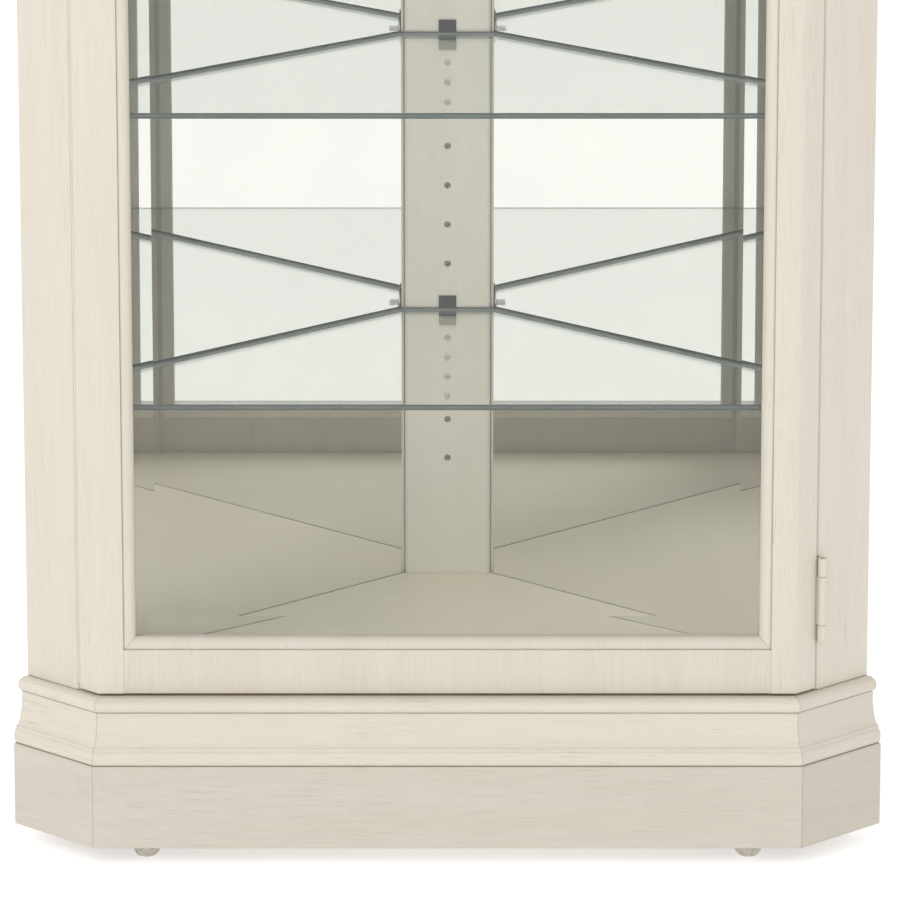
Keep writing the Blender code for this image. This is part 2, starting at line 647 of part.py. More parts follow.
for number, low in enumerate(HINGE_LEVELS, 1):
    high = low + HINGE_LENGTH
    first_split, second_split = low + KNUCKLES[0], low + KNUCKLES[0] + KNUCKLES[1]
    hole = cylinders(
        f"hinge_{number}_hole", HINGE_PIN_R + RUNNING, 16,
        [((HINGE_X, HINGE_DEPTH, low - 0.01), UP, HINGE_LENGTH + 0.02)],
    )

    frame_leaf = box(f"hinge_{number}_frame_leaf", (LEAF_IN, HINGE_X), frame_leaf_depth, (low, high), "paint")
    combine(
        frame_leaf,
        knuckle_cut(f"hinge_{number}_middle_cut", first_split - GAP, second_split + GAP),
        "DIFFERENCE",
    )
    outer = cylinders(
        f"hinge_{number}_outer_knuckles", KNUCKLE_R, 16,
        [((HINGE_X, HINGE_DEPTH, low), UP, first_split - GAP - low),
         ((HINGE_X, HINGE_DEPTH, second_split + GAP), UP, high - second_split - GAP)],
    )
    combine(frame_leaf, outer, "UNION")
    combine(frame_leaf, hole, "DIFFERENCE")

    door_leaf = box(
        f"hinge_{number}_door_leaf", (LEAF_IN, HINGE_X - 0.0018), door_leaf_depth, (low, high), "paint"
    )
    for end, a, b in (("low", low - 0.01, first_split), ("high", second_split, high + 0.01)):
        combine(door_leaf, knuckle_cut(f"hinge_{number}_{end}_cut", a, b), "DIFFERENCE")
    middle = cylinders(
        f"hinge_{number}_middle_knuckle", KNUCKLE_R, 16,
        [((HINGE_X, HINGE_DEPTH, first_split), UP, second_split - first_split)],
    )
    combine(door_leaf, middle, "UNION")
    combine(door_leaf, hole, "DIFFERENCE")

    cylinders(
        f"hinge_{number}_pin", HINGE_PIN_R, 16,
        [((HINGE_X, HINGE_DEPTH, low + 0.0005), UP, HINGE_LENGTH - 0.0010)], "steel",
    )

    reach = (LEAF_IN - GAP, HINGE_X + 0.02)
    levels = (low - GAP, high + GAP)
    combine(
        stile, box(f"door_mortise_{number}", reach, (door_leaf_depth[0] - GAP, 0.1), levels), "DIFFERENCE"
    )
    combine(
        post, box(f"post_mortise_{number}", reach, (0, frame_leaf_depth[1] + GAP), levels), "DIFFERENCE"
    )

# ---------------------------------------------------------------------------------------------
# Shelves and their supports
# ---------------------------------------------------------------------------------------------
def support(name, foot, inward, level, width):
    """A plate against a post, a ledge under the glass and a stub in the post's hole."""
    length, plate_in, ledge = SHELF_SIDE_CLEAR + SUPPORT_UNDER, SUPPORT_OFF + SUPPORT_PLATE, -0.0022
    across = Vector((-inward[1], inward[0], 0))
    inward = Vector((*inward, 0))
    plate = [(SUPPORT_OFF, ledge), (length, ledge), (length, -GAP), (plate_in, -GAP),
             (plate_in, SUPPORT_LIFT), (SUPPORT_OFF, SUPPORT_LIFT)]
    loops = []
    for side in (-width / 2, width / 2):
        points = [Vector((*foot, level + rise)) + inward * out + across * side for out, rise in plate]
        loops.append([tuple(point) for point in points])
    piece = rings(name, loops, "black")
    start = Vector((*foot, level + PIN_RISE)) + inward * 0.0010
    stub = cylinders(name + "_stub", HOLE_R - GAP, 8, [(tuple(start), tuple(-inward), 0.0085)])
    combine(piece, stub, "UNION")


shelf_outline = both_sides([
    (SHELF_SIDE + SHELF_FRONT, SHELF_FRONT), meet(SHELF_SIDE, SHELF_WALL),
    (SHELF_WALL - SHELF_REAR, SHELF_REAR),
])
for number, level in enumerate(SHELF_LEVELS, 1):
    shelf = board(f"glass_shelf_{number}", shelf_outline, 0, SHELF_THICK, "glass")
    soften(shelf, 0.0004)
    shelf.location.z = level
    support(f"shelf_{number}_support_rear", (0, REAR_POST_DEPTH), (0, -1), level, 0.0160)
    x, depth = column_point(HOLE_COLUMNS[0])
    for side, name in ((1, "right"), (-1, "left")):
        support(
            f"shelf_{number}_support_{name}", (side * x, depth), (-side / ROOT2, 1 / ROOT2), level, 0.0140
        )

# ---------------------------------------------------------------------------------------------
# The door's pieces turn about one axis
# ---------------------------------------------------------------------------------------------
axis = bpy.data.objects.new("door_hinge_axis", None)
axis.empty_display_size = 0.05
axis.location = (HINGE_X, HINGE_DEPTH - MIDDLE, (DOOR_BOTTOM + DOOR_TOP) / 2)
parts.objects.link(axis)
for obj in list(parts.objects):
    if obj.name.startswith("door_") and obj is not axis or obj.name.endswith("_door_leaf"):
        obj.parent = axis
        obj.matrix_parent_inverse = Matrix.Translation(-axis.location)
for obj in parts.objects:
    if obj.type == "MESH" and obj.modifiers.get("turn") is None and "hinge" in obj.name:
        obj.data.shade_smooth()
        obj.data.set_sharp_from_angle(angle=math.radians(35))
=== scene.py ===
# %% [markdown]
# # A corner curio cabinet, finished
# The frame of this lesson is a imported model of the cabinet: boards, posts, mirrors, glass and hinges, each
# a separate solid on the body that it moves with. Here they get their finishes, and the mouldings and the
# door get a finer visible surface. Everything is measured from the frame, in metres.

# %% Open the frame
import json
import math

import bmesh
import bpy
from mathutils import Matrix, Vector

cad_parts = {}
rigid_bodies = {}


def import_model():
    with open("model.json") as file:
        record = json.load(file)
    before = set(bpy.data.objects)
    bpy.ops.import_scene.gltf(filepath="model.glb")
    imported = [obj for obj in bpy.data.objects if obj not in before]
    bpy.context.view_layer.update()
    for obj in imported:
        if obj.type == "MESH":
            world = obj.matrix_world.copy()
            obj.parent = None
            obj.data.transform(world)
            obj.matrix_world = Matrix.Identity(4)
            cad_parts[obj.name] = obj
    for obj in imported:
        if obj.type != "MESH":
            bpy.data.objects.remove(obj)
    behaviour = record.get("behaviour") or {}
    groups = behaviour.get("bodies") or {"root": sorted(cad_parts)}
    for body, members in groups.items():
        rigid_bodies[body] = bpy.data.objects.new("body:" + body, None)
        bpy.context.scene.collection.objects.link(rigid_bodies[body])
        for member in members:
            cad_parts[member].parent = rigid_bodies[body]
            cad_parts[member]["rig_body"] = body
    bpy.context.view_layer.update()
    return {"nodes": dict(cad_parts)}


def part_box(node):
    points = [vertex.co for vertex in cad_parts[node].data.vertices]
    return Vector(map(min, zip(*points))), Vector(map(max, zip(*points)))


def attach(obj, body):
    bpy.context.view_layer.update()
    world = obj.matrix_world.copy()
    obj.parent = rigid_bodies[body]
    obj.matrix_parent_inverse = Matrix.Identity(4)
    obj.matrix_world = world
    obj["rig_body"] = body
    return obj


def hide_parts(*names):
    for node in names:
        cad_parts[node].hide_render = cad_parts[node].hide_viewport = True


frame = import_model()
nodes = frame["nodes"]

# %% [markdown]
# ## The plan of the cabinet
# A five-sided plan is easiest to think of with two helper lines. The short sides run along
# x - depth = a constant, and the room's walls along x + depth = a constant. Depth is counted back from
# the plinth's face, so that every inset of a moulding is simply a depth.

# %% Lines of the plan, read from the frame
MM = 0.001
ROOT2 = math.sqrt(2)
TAN = math.tan(math.radians(22.5))
FRONT_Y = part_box("plinth_front")[0].y
REAR_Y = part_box("rear_post")[1].y
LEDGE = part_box("base_moulding_front")[1].z
PLINTH_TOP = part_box("base_moulding_front")[0].z
MITRE_GAP = 0.2 * MM
PLINTH_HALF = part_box("plinth_front")[1].x + MITRE_GAP
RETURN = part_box("plinth_right")[1].x - PLINTH_HALF
WALL_SUM = PLINTH_HALF + 2 * RETURN
CROWN_LOW, CROWN_HIGH = (corner.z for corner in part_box("crown_front"))
DOOR_LOW, DOOR_HIGH = (corner.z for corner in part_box("door_stile_right"))
DOOR_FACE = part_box("door_stile_right")[0].y - FRONT_Y
DOOR_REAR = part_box("door_stile_right")[1].y - FRONT_Y
print(f"plinth {2 * PLINTH_HALF:.3f} m wide, returns {RETURN:.3f} m")
print(f"door {DOOR_HIGH - DOOR_LOW:.3f} m high")


def meet(side, wall):
    """The plan point where x - depth = side meets x + depth = wall."""
    return (wall + side) / 2, (wall - side) / 2


# %% [markdown]
# ## Camera
# The cabinet is seen from in front and a little above, from far enough back that its uprights stay nearly
# parallel. A long lens gives that. The frame takes in the base and the lower two shelves, so the lens
# looks down at them, and no shift is used: the camera may be moved later, and a shift would stay with it.

# %% Place the camera
EYE = Vector((0.0023, FRONT_Y - 5.5, 1.7846))
TILT = math.radians(14.354)
LENS_MM = 262
camera_data = bpy.data.cameras.new("camera")
camera_data.sensor_width = 36
camera_data.lens = LENS_MM
camera_data.clip_end = 200
camera = bpy.data.objects.new("camera", camera_data)
camera.location = EYE
camera.rotation_euler = (math.radians(90) - TILT, 0, 0)
bpy.context.scene.collection.objects.link(camera)
bpy.context.scene.camera = camera
bpy.context.scene.view_settings.view_transform = "Standard"
print(f"camera {camera_data.lens:.0f} mm, {-EYE.y:.2f} m in front")

# %% [markdown]
# ## Floor and light
# A white floor and a white surround keep attention on the paint. The floor glows a little of its own, so
# that it stays white and the mirrors, which look down at it, stay bright. One large soft light comes from
# high on the left and a weaker one from the right, so the 45 degree sides read darker than the front.

# %% A pale floor that glows a little
FLOOR_GREY, FLOOR_ROUGHNESS, FLOOR_GLOW = 0.60, 0.7, 0.56
FLOOR_HALF = 60


def glowing_floor(name, grey, roughness, glow):
    """A plain matt finish with a little light of its own."""
    material = bpy.data.materials.new(name)
    material.use_nodes = True
    shader = material.node_tree.nodes["Principled BSDF"]
    shader.inputs["Base Color"].default_value = (grey, grey, grey, 1)
    shader.inputs["Roughness"].default_value = roughness
    shader.inputs["Emission Color"].default_value = (1, 1, 1, 1)
    shader.inputs["Emission Strength"].default_value = glow
    return material


floor_mesh = bpy.data.meshes.new("studio_floor")
ground = bmesh.new()
bmesh.ops.create_grid(ground, x_segments=1, y_segments=1, size=FLOOR_HALF)
ground.to_mesh(floor_mesh)
ground.free()
studio_floor = bpy.data.objects.new("studio_floor", floor_mesh)
studio_floor.location.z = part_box("leveller_left")[0].z - 0.2 * MM
bpy.context.scene.collection.objects.link(studio_floor)
floor_mesh.materials.append(glowing_floor("pale_floor", FLOOR_GREY, FLOOR_ROUGHNESS, FLOOR_GLOW))
print("floor at", round(studio_floor.location.z / MM, 1), "mm")


# %% A white surround and two soft lights
def area_light(name, place, aim, size, power, colour):
    """A rectangle of soft light that faces a point."""
    data = bpy.data.lights.new(name, "AREA")
    data.shape = "RECTANGLE"
    data.size, data.size_y = size
    data.energy = power
    data.color = colour
    light = bpy.data.objects.new(name, data)
    light.location = place
    light.rotation_euler = (Vector(aim) - Vector(place)).to_track_quat("-Z", "Y").to_euler()
    bpy.context.scene.collection.objects.link(light)
    return light


world = bpy.data.worlds.new("studio")
bpy.context.scene.world = world
world.use_nodes = True
surround = world.node_tree.nodes["Background"]
surround.inputs["Color"].default_value = (1.0, 0.995, 0.98, 1)
surround.inputs["Strength"].default_value = 0.90
lights = [
    area_light("window_left", (-2.6, -3.4, 3.4), aim=(0, 0, 0.8), size=(2.4, 2.4), power=52,
               colour=(1.0, 0.99, 0.97)),
    area_light("fill_right", (3.2, -3.0, 1.8), aim=(0, 0, 0.7), size=(2.0, 2.4), power=10,
               colour=(1.0, 0.98, 0.95)),
]
print("lights:", [light.name for light in lights])

# %% [markdown]
# ## Shader groups: streaks, seams and smudges
# An antique finish is a cream coat with a thin grey-brown glaze dragged over it by a nearly dry brush. The
# glaze stays as hair lines along the stroke, gathers in seams, which also get painted shade, and rubs off
# unevenly along edges. Every painted piece shares these effects, so each is a node group with its own
# inputs, built once.


# %% Start a group, and place it in a material
def new_group(name, inputs, outputs):
    """A shader node group with named float or vector sockets, and its two end nodes."""
    group = bpy.data.node_groups.new(name, "ShaderNodeTree")
    kinds = {"f": "NodeSocketFloat", "v": "NodeSocketVector"}
    for title, kind, *start in inputs:
        socket = group.interface.new_socket(title, in_out="INPUT", socket_type=kinds[kind])
        if start:
            socket.default_value = start[0]
    for title, kind in outputs:
        group.interface.new_socket(title, in_out="OUTPUT", socket_type=kinds[kind])
    return group, group.nodes.new("NodeGroupInput"), group.nodes.new("NodeGroupOutput")


def use_group(tree, group, **values):
    """Places a group in a material, with this material's own values."""
    made = tree.nodes.new("ShaderNodeGroup")
    made.node_tree = group
    for key, value in values.items():
        made.inputs[key.replace("_", " ")].default_value = value
    return made


print("groups are started by new_group and placed by use_group")


# %% Short names for the nodes that every finish uses
def node(tree, kind, **values):
    """One shader node, with its input values and its settings by name."""
    made = tree.nodes.new(kind)
    for key, value in values.items():
        title = key.replace("_", " ").title()
        if title in made.inputs:
            made.inputs[title].default_value = value
        else:
            setattr(made, key, value)
    return made


def wire(tree, *pairs):
    """Links each output to its input."""
    for source, target in pairs:
        tree.links.new(source, target)


def math_node(tree, operation, first, second=None, clamp=False):
    """The result of one sum. Each value is a number or another node's output."""
    made = node(tree, "ShaderNodeMath", operation=operation, use_clamp=clamp)
    for index, value in enumerate((first, second)):
        if value is None:
            continue
        if isinstance(value, (int, float)):
            made.inputs[index].default_value = value
        else:
            tree.links.new(value, made.inputs[index])
    return made.outputs[0]


def smooth_range(tree, value, low, high, new_low=0.0, new_high=1.0):
    """Eases a value from one range into another."""
    made = node(tree, "ShaderNodeMapRange", interpolation_type="SMOOTHSTEP")
    tree.links.new(value, made.inputs["Value"])
    made.inputs["From Min"].default_value = low
    made.inputs["From Max"].default_value = high
    made.inputs["To Min"].default_value = new_low
    made.inputs["To Max"].default_value = new_high
    return made.outputs["Result"]


def noise(tree, vector, stretch, detail=3.0, roughness=0.55):
    """Noise whose cells are 1/stretch metres along each axis."""
    scaled = node(tree, "ShaderNodeVectorMath", operation="MULTIPLY")
    tree.links.new(vector, scaled.inputs[0])
    scaled.inputs[1].default_value = stretch
    texture = node(tree, "ShaderNodeTexNoise", detail=detail, roughness=roughness, scale=1.0)
    tree.links.new(scaled.outputs[0], texture.inputs["Vector"])
    return texture.outputs["Fac"]


def mix_colour(tree, mask, first, second):
    """The first colour where the mask is 0 and the second where it is 1."""
    made = node(tree, "ShaderNodeMix", data_type="RGBA", blend_type="MIX")
    for socket, value in ((made.inputs[0], mask), (made.inputs[6], first), (made.inputs[7], second)):
        if isinstance(value, (int, float, tuple)):
            socket.default_value = value if isinstance(value, (int, float)) else (*value, 1)
        else:
            tree.links.new(value, socket)
    return made.outputs[2]


print("node helpers ready")

# %% [markdown]
# The brush group follows the local z axis. Two noises, long along the stroke and fine across it, are cut
# off high, so that only their peaks stay as hair lines. A slow noise says where the brush still had glaze
# on it, and another one bends the strokes a little, because no hand draws a straight line.

# %% Group: dry-brush streaks along the local z axis
brush, group_in, group_out = new_group(
    "dry_brush",
    [("Vector", "v"), ("Amount", "f", 1.0)],
    [("Streaks", "f"), ("Ripple", "f"), ("Broad", "f"), ("Height", "f")],
)
place = group_in.outputs["Vector"]
bend = node(brush, "ShaderNodeTexNoise", scale=9.0, detail=1.0)
wander = node(brush, "ShaderNodeVectorMath", operation="MULTIPLY_ADD")
wire(
    brush,
    (place, bend.inputs["Vector"]),
    (bend.outputs["Color"], wander.inputs[0]),
    (place, wander.inputs[2]),
)
wander.inputs[1].default_value = (10 * MM, 10 * MM, 0.0)
stroke = wander.outputs[0]
hairs = noise(brush, stroke, (1000, 1000, 20), 2.0, 0.55)
hairs_wide = noise(brush, stroke, (430, 430, 13), 3.0, 0.6)
patches = noise(brush, place, (26, 26, 8), 3.0, 0.6)
fine = smooth_range(brush, hairs, 0.56, 0.72)
wide = smooth_range(brush, hairs_wide, 0.60, 0.76)
where = smooth_range(brush, patches, 0.42, 0.66, 0.15, 1.0)
both = math_node(brush, "MAXIMUM", math_node(brush, "MULTIPLY", fine, 0.65), wide)
placed = math_node(brush, "MULTIPLY", both, where)
streaks = math_node(brush, "MULTIPLY", placed, group_in.outputs["Amount"], clamp=True)
ripple = noise(brush, stroke, (620, 620, 15), 3.0, 0.65)
from_hairs = math_node(brush, "MULTIPLY", hairs, 0.4)
from_ripple = math_node(brush, "MULTIPLY", ripple, 0.6)
height = math_node(brush, "ADD", from_hairs, from_ripple)
wire(
    brush,
    (streaks, group_out.inputs["Streaks"]),
    (ripple, group_out.inputs["Ripple"]),
    (noise(brush, place, (40, 40, 3.0), 2.0, 0.5), group_out.inputs["Broad"]),
    (height, group_out.inputs["Height"]),
)
print("group dry_brush:", len(brush.nodes), "nodes")

# %% [markdown]
# Glaze also stays wherever the wipe can't reach, and the seams are darkened further as painted shade.
# Ambient occlusion over a few millimetres finds the seams, and a bevel node that differs from the true normal
# finds the edges, which the same node also rounds.

# %% Group: glaze and painted shade in the seams, rub along the edges
seams, group_in, group_out = new_group(
    "seams_and_edges",
    [("Vector", "v"), ("Seam Reach", "f", 4.5 * MM), ("Edge Radius", "f", 1.2 * MM)],
    [("Seam", "f"), ("Edge", "f"), ("Round Normal", "v")],
)
# The seam mask is ambient occlusion: it paints shade into the seams, on top of the glaze that gathers there.
hollow = node(seams, "ShaderNodeAmbientOcclusion", samples=6)
wire(seams, (group_in.outputs["Seam Reach"], hollow.inputs["Distance"]))
shade = math_node(seams, "SUBTRACT", 1.0, hollow.outputs["AO"])
grain = noise(seams, group_in.outputs["Vector"], (420, 420, 60), 3.0, 0.6)
slow = noise(seams, group_in.outputs["Vector"], (24, 24, 24), 3.0, 0.6)
seam_noise = smooth_range(seams, slow, 0.38, 0.66, 0.35, 1.0)
seam = math_node(seams, "MULTIPLY", smooth_range(seams, shade, 0.34, 0.90), seam_noise)
soft_edge = node(seams, "ShaderNodeBevel", samples=6)
wire(seams, (group_in.outputs["Edge Radius"], soft_edge.inputs["Radius"]))
geometry = node(seams, "ShaderNodeNewGeometry")
turned = node(seams, "ShaderNodeVectorMath", operation="DOT_PRODUCT")
wire(seams, (soft_edge.outputs[0], turned.inputs[0]), (geometry.outputs["Normal"], turned.inputs[1]))
corner_mask = smooth_range(seams, turned.outputs["Value"], 0.995, 0.86)
broken = smooth_range(seams, grain, 0.50, 0.64)
edge = math_node(seams, "MULTIPLY", corner_mask, broken)
wire(
    seams,
    (seam, group_out.inputs["Seam"]),
    (edge, group_out.inputs["Edge"]),
    (soft_edge.outputs[0], group_out.inputs["Round Normal"]),
)
print("group seams_and_edges:", len(seams.nodes), "nodes")

# %% [markdown]
# Glass and mirrors are never quite clean. A cloudy noise gives the places where a cloth has left a film.

# %% Group: faint smudges, for glass and mirrors
smudge, group_in, group_out = new_group("smudges", [("Vector", "v"), ("Size", "f", 9.0)], [("Smudge", "f")])
scaled = node(smudge, "ShaderNodeVectorMath", operation="SCALE")
wire(
    smudge,
    (group_in.outputs["Vector"], scaled.inputs[0]),
    (group_in.outputs["Size"], scaled.inputs["Scale"]),
)
cloud = noise(smudge, scaled.outputs[0], (1, 1, 1), 4.0, 0.6)
wire(smudge, (smooth_range(smudge, cloud, 0.45, 0.75), group_out.inputs["Smudge"]))
print("group smudges:", len(smudge.nodes), "nodes")

# %% [markdown]
# ## Antique paint
# The strokes follow each board: up the posts and stiles, along the plinth and the mouldings. One function
# makes the paint for a given direction. It turns the object's own coordinates until the stroke runs along
# z, so a piece that swings with the door keeps its streaks.

# %% The paint, for one stroke direction
CREAM = (0.684, 0.637, 0.553)
WARMER = (0.972, 0.964, 0.955)
GLAZE = (0.365, 0.318, 0.256)
# Seams get a colour that is partly glaze and partly painted shade.
SEAM_GLAZE_AND_SHADE = (0.250, 0.195, 0.135)
EDGE_RUB, SEAM_GLAZE_AND_SHADE_FILL = 0.20, 0.44
PAINT_ROUGHNESS, ROUGHER_ON_STROKES = 0.42, 0.22


def antique_paint(name, across=False, plan_turn=0.0, amount=0.30, cream=CREAM, depth=1.0, ripple=0.16):
    """Cream paint under dragged glaze. across=True lays the stroke level, turned by plan_turn in the plan.

    amount is how much glaze the brush left, depth darkens or lightens the cream as painted light and shade,
    and ripple is the faint grain.
    """
    cream = tuple(depth * value for value in cream)
    warm = tuple(value * warmer for value, warmer in zip(cream, WARMER))
    material = bpy.data.materials.new(name)
    material.use_nodes = True
    tree = material.node_tree
    shader = tree.nodes["Principled BSDF"]
    coordinates = node(tree, "ShaderNodeTexCoord")
    plan = node(tree, "ShaderNodeVectorRotate", rotation_type="Z_AXIS", angle=-plan_turn)
    lay = node(tree, "ShaderNodeVectorRotate", rotation_type="Y_AXIS", angle=math.pi / 2 if across else 0.0)
    strokes = use_group(tree, brush, Amount=amount)
    joints = use_group(tree, seams)
    wire(
        tree,
        (coordinates.outputs["Object"], plan.inputs["Vector"]),
        (plan.outputs[0], lay.inputs["Vector"]),
        (lay.outputs[0], strokes.inputs["Vector"]),
        (lay.outputs[0], joints.inputs["Vector"]),
    )
    broad = smooth_range(tree, strokes.outputs["Broad"], 0.30, 0.70)
    grain = smooth_range(tree, strokes.outputs["Ripple"], 0.40, 0.72, 0.0, ripple)
    edge_mask = math_node(tree, "MULTIPLY", joints.outputs["Edge"], EDGE_RUB)
    # Seams are darkened by glaze and by painted shade from ambient occlusion.
    seam_mask = math_node(tree, "MULTIPLY", joints.outputs["Seam"], SEAM_GLAZE_AND_SHADE_FILL)
    tone = mix_colour(tree, broad, cream, warm)
    rippled = mix_colour(tree, grain, tone, GLAZE)
    glazed = mix_colour(tree, strokes.outputs["Streaks"], rippled, GLAZE)
    rubbed = mix_colour(tree, edge_mask, glazed, GLAZE)
    seamed = mix_colour(tree, seam_mask, rubbed, SEAM_GLAZE_AND_SHADE)
    raised = math_node(tree, "MULTIPLY", strokes.outputs["Height"], ROUGHER_ON_STROKES)
    rough = math_node(tree, "ADD", PAINT_ROUGHNESS, raised)
    bump = node(tree, "ShaderNodeBump", strength=0.35, distance=0.12 * MM)
    wire(
        tree,
        (seamed, shader.inputs["Base Color"]),
        (rough, shader.inputs["Roughness"]),
        (strokes.outputs["Height"], bump.inputs["Height"]),
        (joints.outputs["Round Normal"], bump.inputs["Normal"]),
        (bump.outputs[0], shader.inputs["Normal"]),
    )
    return material


print("paint ready, cream", CREAM)

# %% [markdown]
# Every painted face has its own direction and its own share of glaze, and some are painted lighter or darker
# as painted light and shade. The boards that run level get three paints, one along the front and one along
# each return, and the posts and stiles get an upright one.


# %% Nine paints
def dress(material, *names):
    """Gives these solids one finish."""
    for name in names:
        nodes[name].data.materials.clear()
        nodes[name].data.materials.append(material)


# Side: how far its boards turn in the plan, and how much its cream is darkened there as painted shade.
SIDES = {"front": (0.0, 1.0), "right": (math.pi / 4, 0.93), "left": (-math.pi / 4, 1.0)}


def level_paints(name, amount, depth, ripple):
    """The same finish laid along the front and along each return."""
    # depth and each side's shade lighten or darken the cream as painted light and shade.
    return {
        side: antique_paint(f"{name}_{side}", True, turn, amount, depth=depth * shade, ripple=ripple)
        for side, (turn, shade) in SIDES.items()
    }


# Rails are painted a little darker, mouldings lighter and the plinth darker than the posts: painted light and
# shade for light from above.
upright_paint = antique_paint("antique_paint_upright", amount=0.44, ripple=0.10)
rail_paint = antique_paint("antique_paint_rails", amount=0.34, depth=0.965, ripple=0.11)
moulding_paint = level_paints("antique_paint_mouldings", amount=0.66, depth=1.015, ripple=0.10)
plinth_paint = level_paints("antique_paint_plinth", amount=0.58, depth=0.880, ripple=0.17)
# The rear post gets a lighter copy of the upright paint with little glaze: painted light for the shaded
# inside.
inner_upright_painted_light = antique_paint("inner_paint_upright", amount=0.12, cream=(0.80, 0.76, 0.68), ripple=0.05)
dress(upright_paint, "side_post_left", "side_post_right")
dress(inner_upright_painted_light, "rear_post")
print("paints:", sorted(material.name for material in bpy.data.materials if "paint" in material.name))

# %% [markdown]
# ## Mouldings
# The base moulding is a bead, a deep cove and a second bead, run in one length and mitred at the two front
# corners. It is a profile swept along three straight lines, so it is made here as a loft between two
# mitred ends, with enough points that the cove and the beads look round.


# %% Profiles as (inset, height) points
def ellipse_arc(start, end, count, upright_first):
    """A quarter ellipse from start to end that leaves the start upright, or level."""
    points = []
    for i in range(count + 1):
        turn = math.radians(90 * i / count)
        if upright_first:
            u, v = 1 - math.cos(turn), math.sin(turn)
        else:
            u, v = math.sin(turn), 1 - math.cos(turn)
        points.append((start[0] + (end[0] - start[0]) * u, start[1] + (end[1] - start[1]) * v))
    return points


def half_bead(outer, low, high, root, count=12):
    """A half round bead between two heights, from its root inset out to its outer inset."""
    middle, rise = (low + high) / 2, (high - low) / 2
    points = []
    for i in range(count + 1):
        turn = math.radians(-90 + 180 * i / count)
        points.append((root - (root - outer) * math.cos(turn), middle + rise * math.sin(turn)))
    return points


CLEARANCE = 0.3 * MM
BOARD, MOULDING_BACK = 18.0 * MM, 36.0 * MM
FLOOR_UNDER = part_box("floor_panel")[0].z - CLEARANCE
BASE_PROFILE = [
    (2.4 * MM, PLINTH_TOP - 0.15 * MM),
    *half_bead(0.5 * MM, PLINTH_TOP - 0.1 * MM, PLINTH_TOP + 12.6 * MM, 2.8 * MM),
    (3.1 * MM, PLINTH_TOP + 13.2 * MM), (3.0 * MM, PLINTH_TOP + 14.6 * MM),
    *ellipse_arc((3.0 * MM, PLINTH_TOP + 15.6 * MM), (10.4 * MM, LEDGE - 15.0 * MM), 14, False),
    (10.4 * MM, LEDGE - 13.1 * MM), (11.2 * MM, LEDGE - 12.9 * MM), (11.2 * MM, LEDGE - 12.4 * MM),
    *half_bead(6.2 * MM, LEDGE - 12.3 * MM, LEDGE - 1.2 * MM, 10.6 * MM),
    (11.0 * MM, LEDGE - 0.9 * MM), (11.2 * MM, LEDGE - 0.2 * MM), (BOARD, LEDGE), (BOARD, FLOOR_UNDER),
    (MOULDING_BACK, FLOOR_UNDER), (MOULDING_BACK, PLINTH_TOP),
]
CROWN_PROFILE = [
    (BOARD, CROWN_LOW), (11.6 * MM, CROWN_LOW + 0.2 * MM),
    *half_bead(6.2 * MM, CROWN_LOW + 0.9 * MM, CROWN_LOW + 12.6 * MM, 10.8 * MM),
    (10.8 * MM, CROWN_LOW + 13.4 * MM), (10.8 * MM, CROWN_LOW + 60 * MM),
    (9.4 * MM, CROWN_LOW + 60.6 * MM),
    *ellipse_arc((9.4 * MM, CROWN_LOW + 64 * MM), (3.0 * MM, CROWN_LOW + 90 * MM), 14, True),
    (2.6 * MM, CROWN_LOW + 90.6 * MM), (2.6 * MM, CROWN_LOW + 93.2 * MM),
    *half_bead(0.1 * MM, CROWN_LOW + 94.0 * MM, CROWN_LOW + 101.5 * MM, 2.4 * MM, 8),
    (1.2 * MM, CROWN_LOW + 102.2 * MM), (0.9 * MM, CROWN_HIGH - 3.0 * MM), (2.6 * MM, CROWN_HIGH - 0.3 * MM),
    (4.0 * MM, CROWN_HIGH), (MOULDING_BACK, CROWN_HIGH), (MOULDING_BACK, CROWN_LOW),
]
PLINTH_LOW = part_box("plinth_front")[0].z
PLINTH_PROFILE = [
    (0.5 * MM, PLINTH_LOW), (0.0, PLINTH_LOW + 0.6 * MM), (0.0, PLINTH_TOP - 2.4 * MM),
    *ellipse_arc((0.0, PLINTH_TOP - 1.6 * MM), (1.2 * MM, PLINTH_TOP - CLEARANCE), 5, True),
    (BOARD, PLINTH_TOP - CLEARANCE), (BOARD, PLINTH_LOW),
]
print(f"base profile {len(BASE_PROFILE)} points, crown profile {len(CROWN_PROFILE)} points")


# %% A solid between two outlines
def loft(name, start, end, material, body):
    """A solid between two matching outlines of (x, depth, z) points, shaded round where it is round."""
    work = bmesh.new()
    rows = [[work.verts.new((x, FRONT_Y + depth, z)) for x, depth, z in loop] for loop in (start, end)]
    count = len(start)
    for i in range(count):
        j = (i + 1) % count
        work.faces.new((rows[0][i], rows[0][j], rows[1][j], rows[1][i]))
    work.faces.new(rows[0])
    work.faces.new(rows[1])
    return finish_mesh(name, work, material, body)


def finish_mesh(name, work, material, body, sharp=35):
    """Turns a bmesh into a shown piece: normals out, round parts smooth, riding on its body."""
    bmesh.ops.recalc_face_normals(work, faces=work.faces)
    mesh = bpy.data.meshes.new(name)
    work.to_mesh(mesh)
    work.free()
    mesh.shade_smooth()
    mesh.set_sharp_from_angle(angle=math.radians(sharp))
    mesh.materials.append(material)
    piece = bpy.data.objects.new(name, mesh)
    bpy.context.scene.collection.objects.link(piece)
    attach(piece, body)
    return piece


print("loft and finish_mesh make every solid piece")

# %% [markdown]
# Each profile runs along the front between two mitres, and along each return from the mitre to the wall. A
# hair of space is left in the mitre, so that the paint group finds a seam there.

# %% Sweep the profiles along the front and the two returns
MITRE = 0.015 * MM


def front_corner(inset, along):
    """A point of the mitre line, moved this far along the front or, if positive, along the return."""
    x, depth = PLINTH_HALF - inset * TAN, inset
    if along < 0:
        return x + along, depth
    return x + along / ROOT2, depth + along / ROOT2


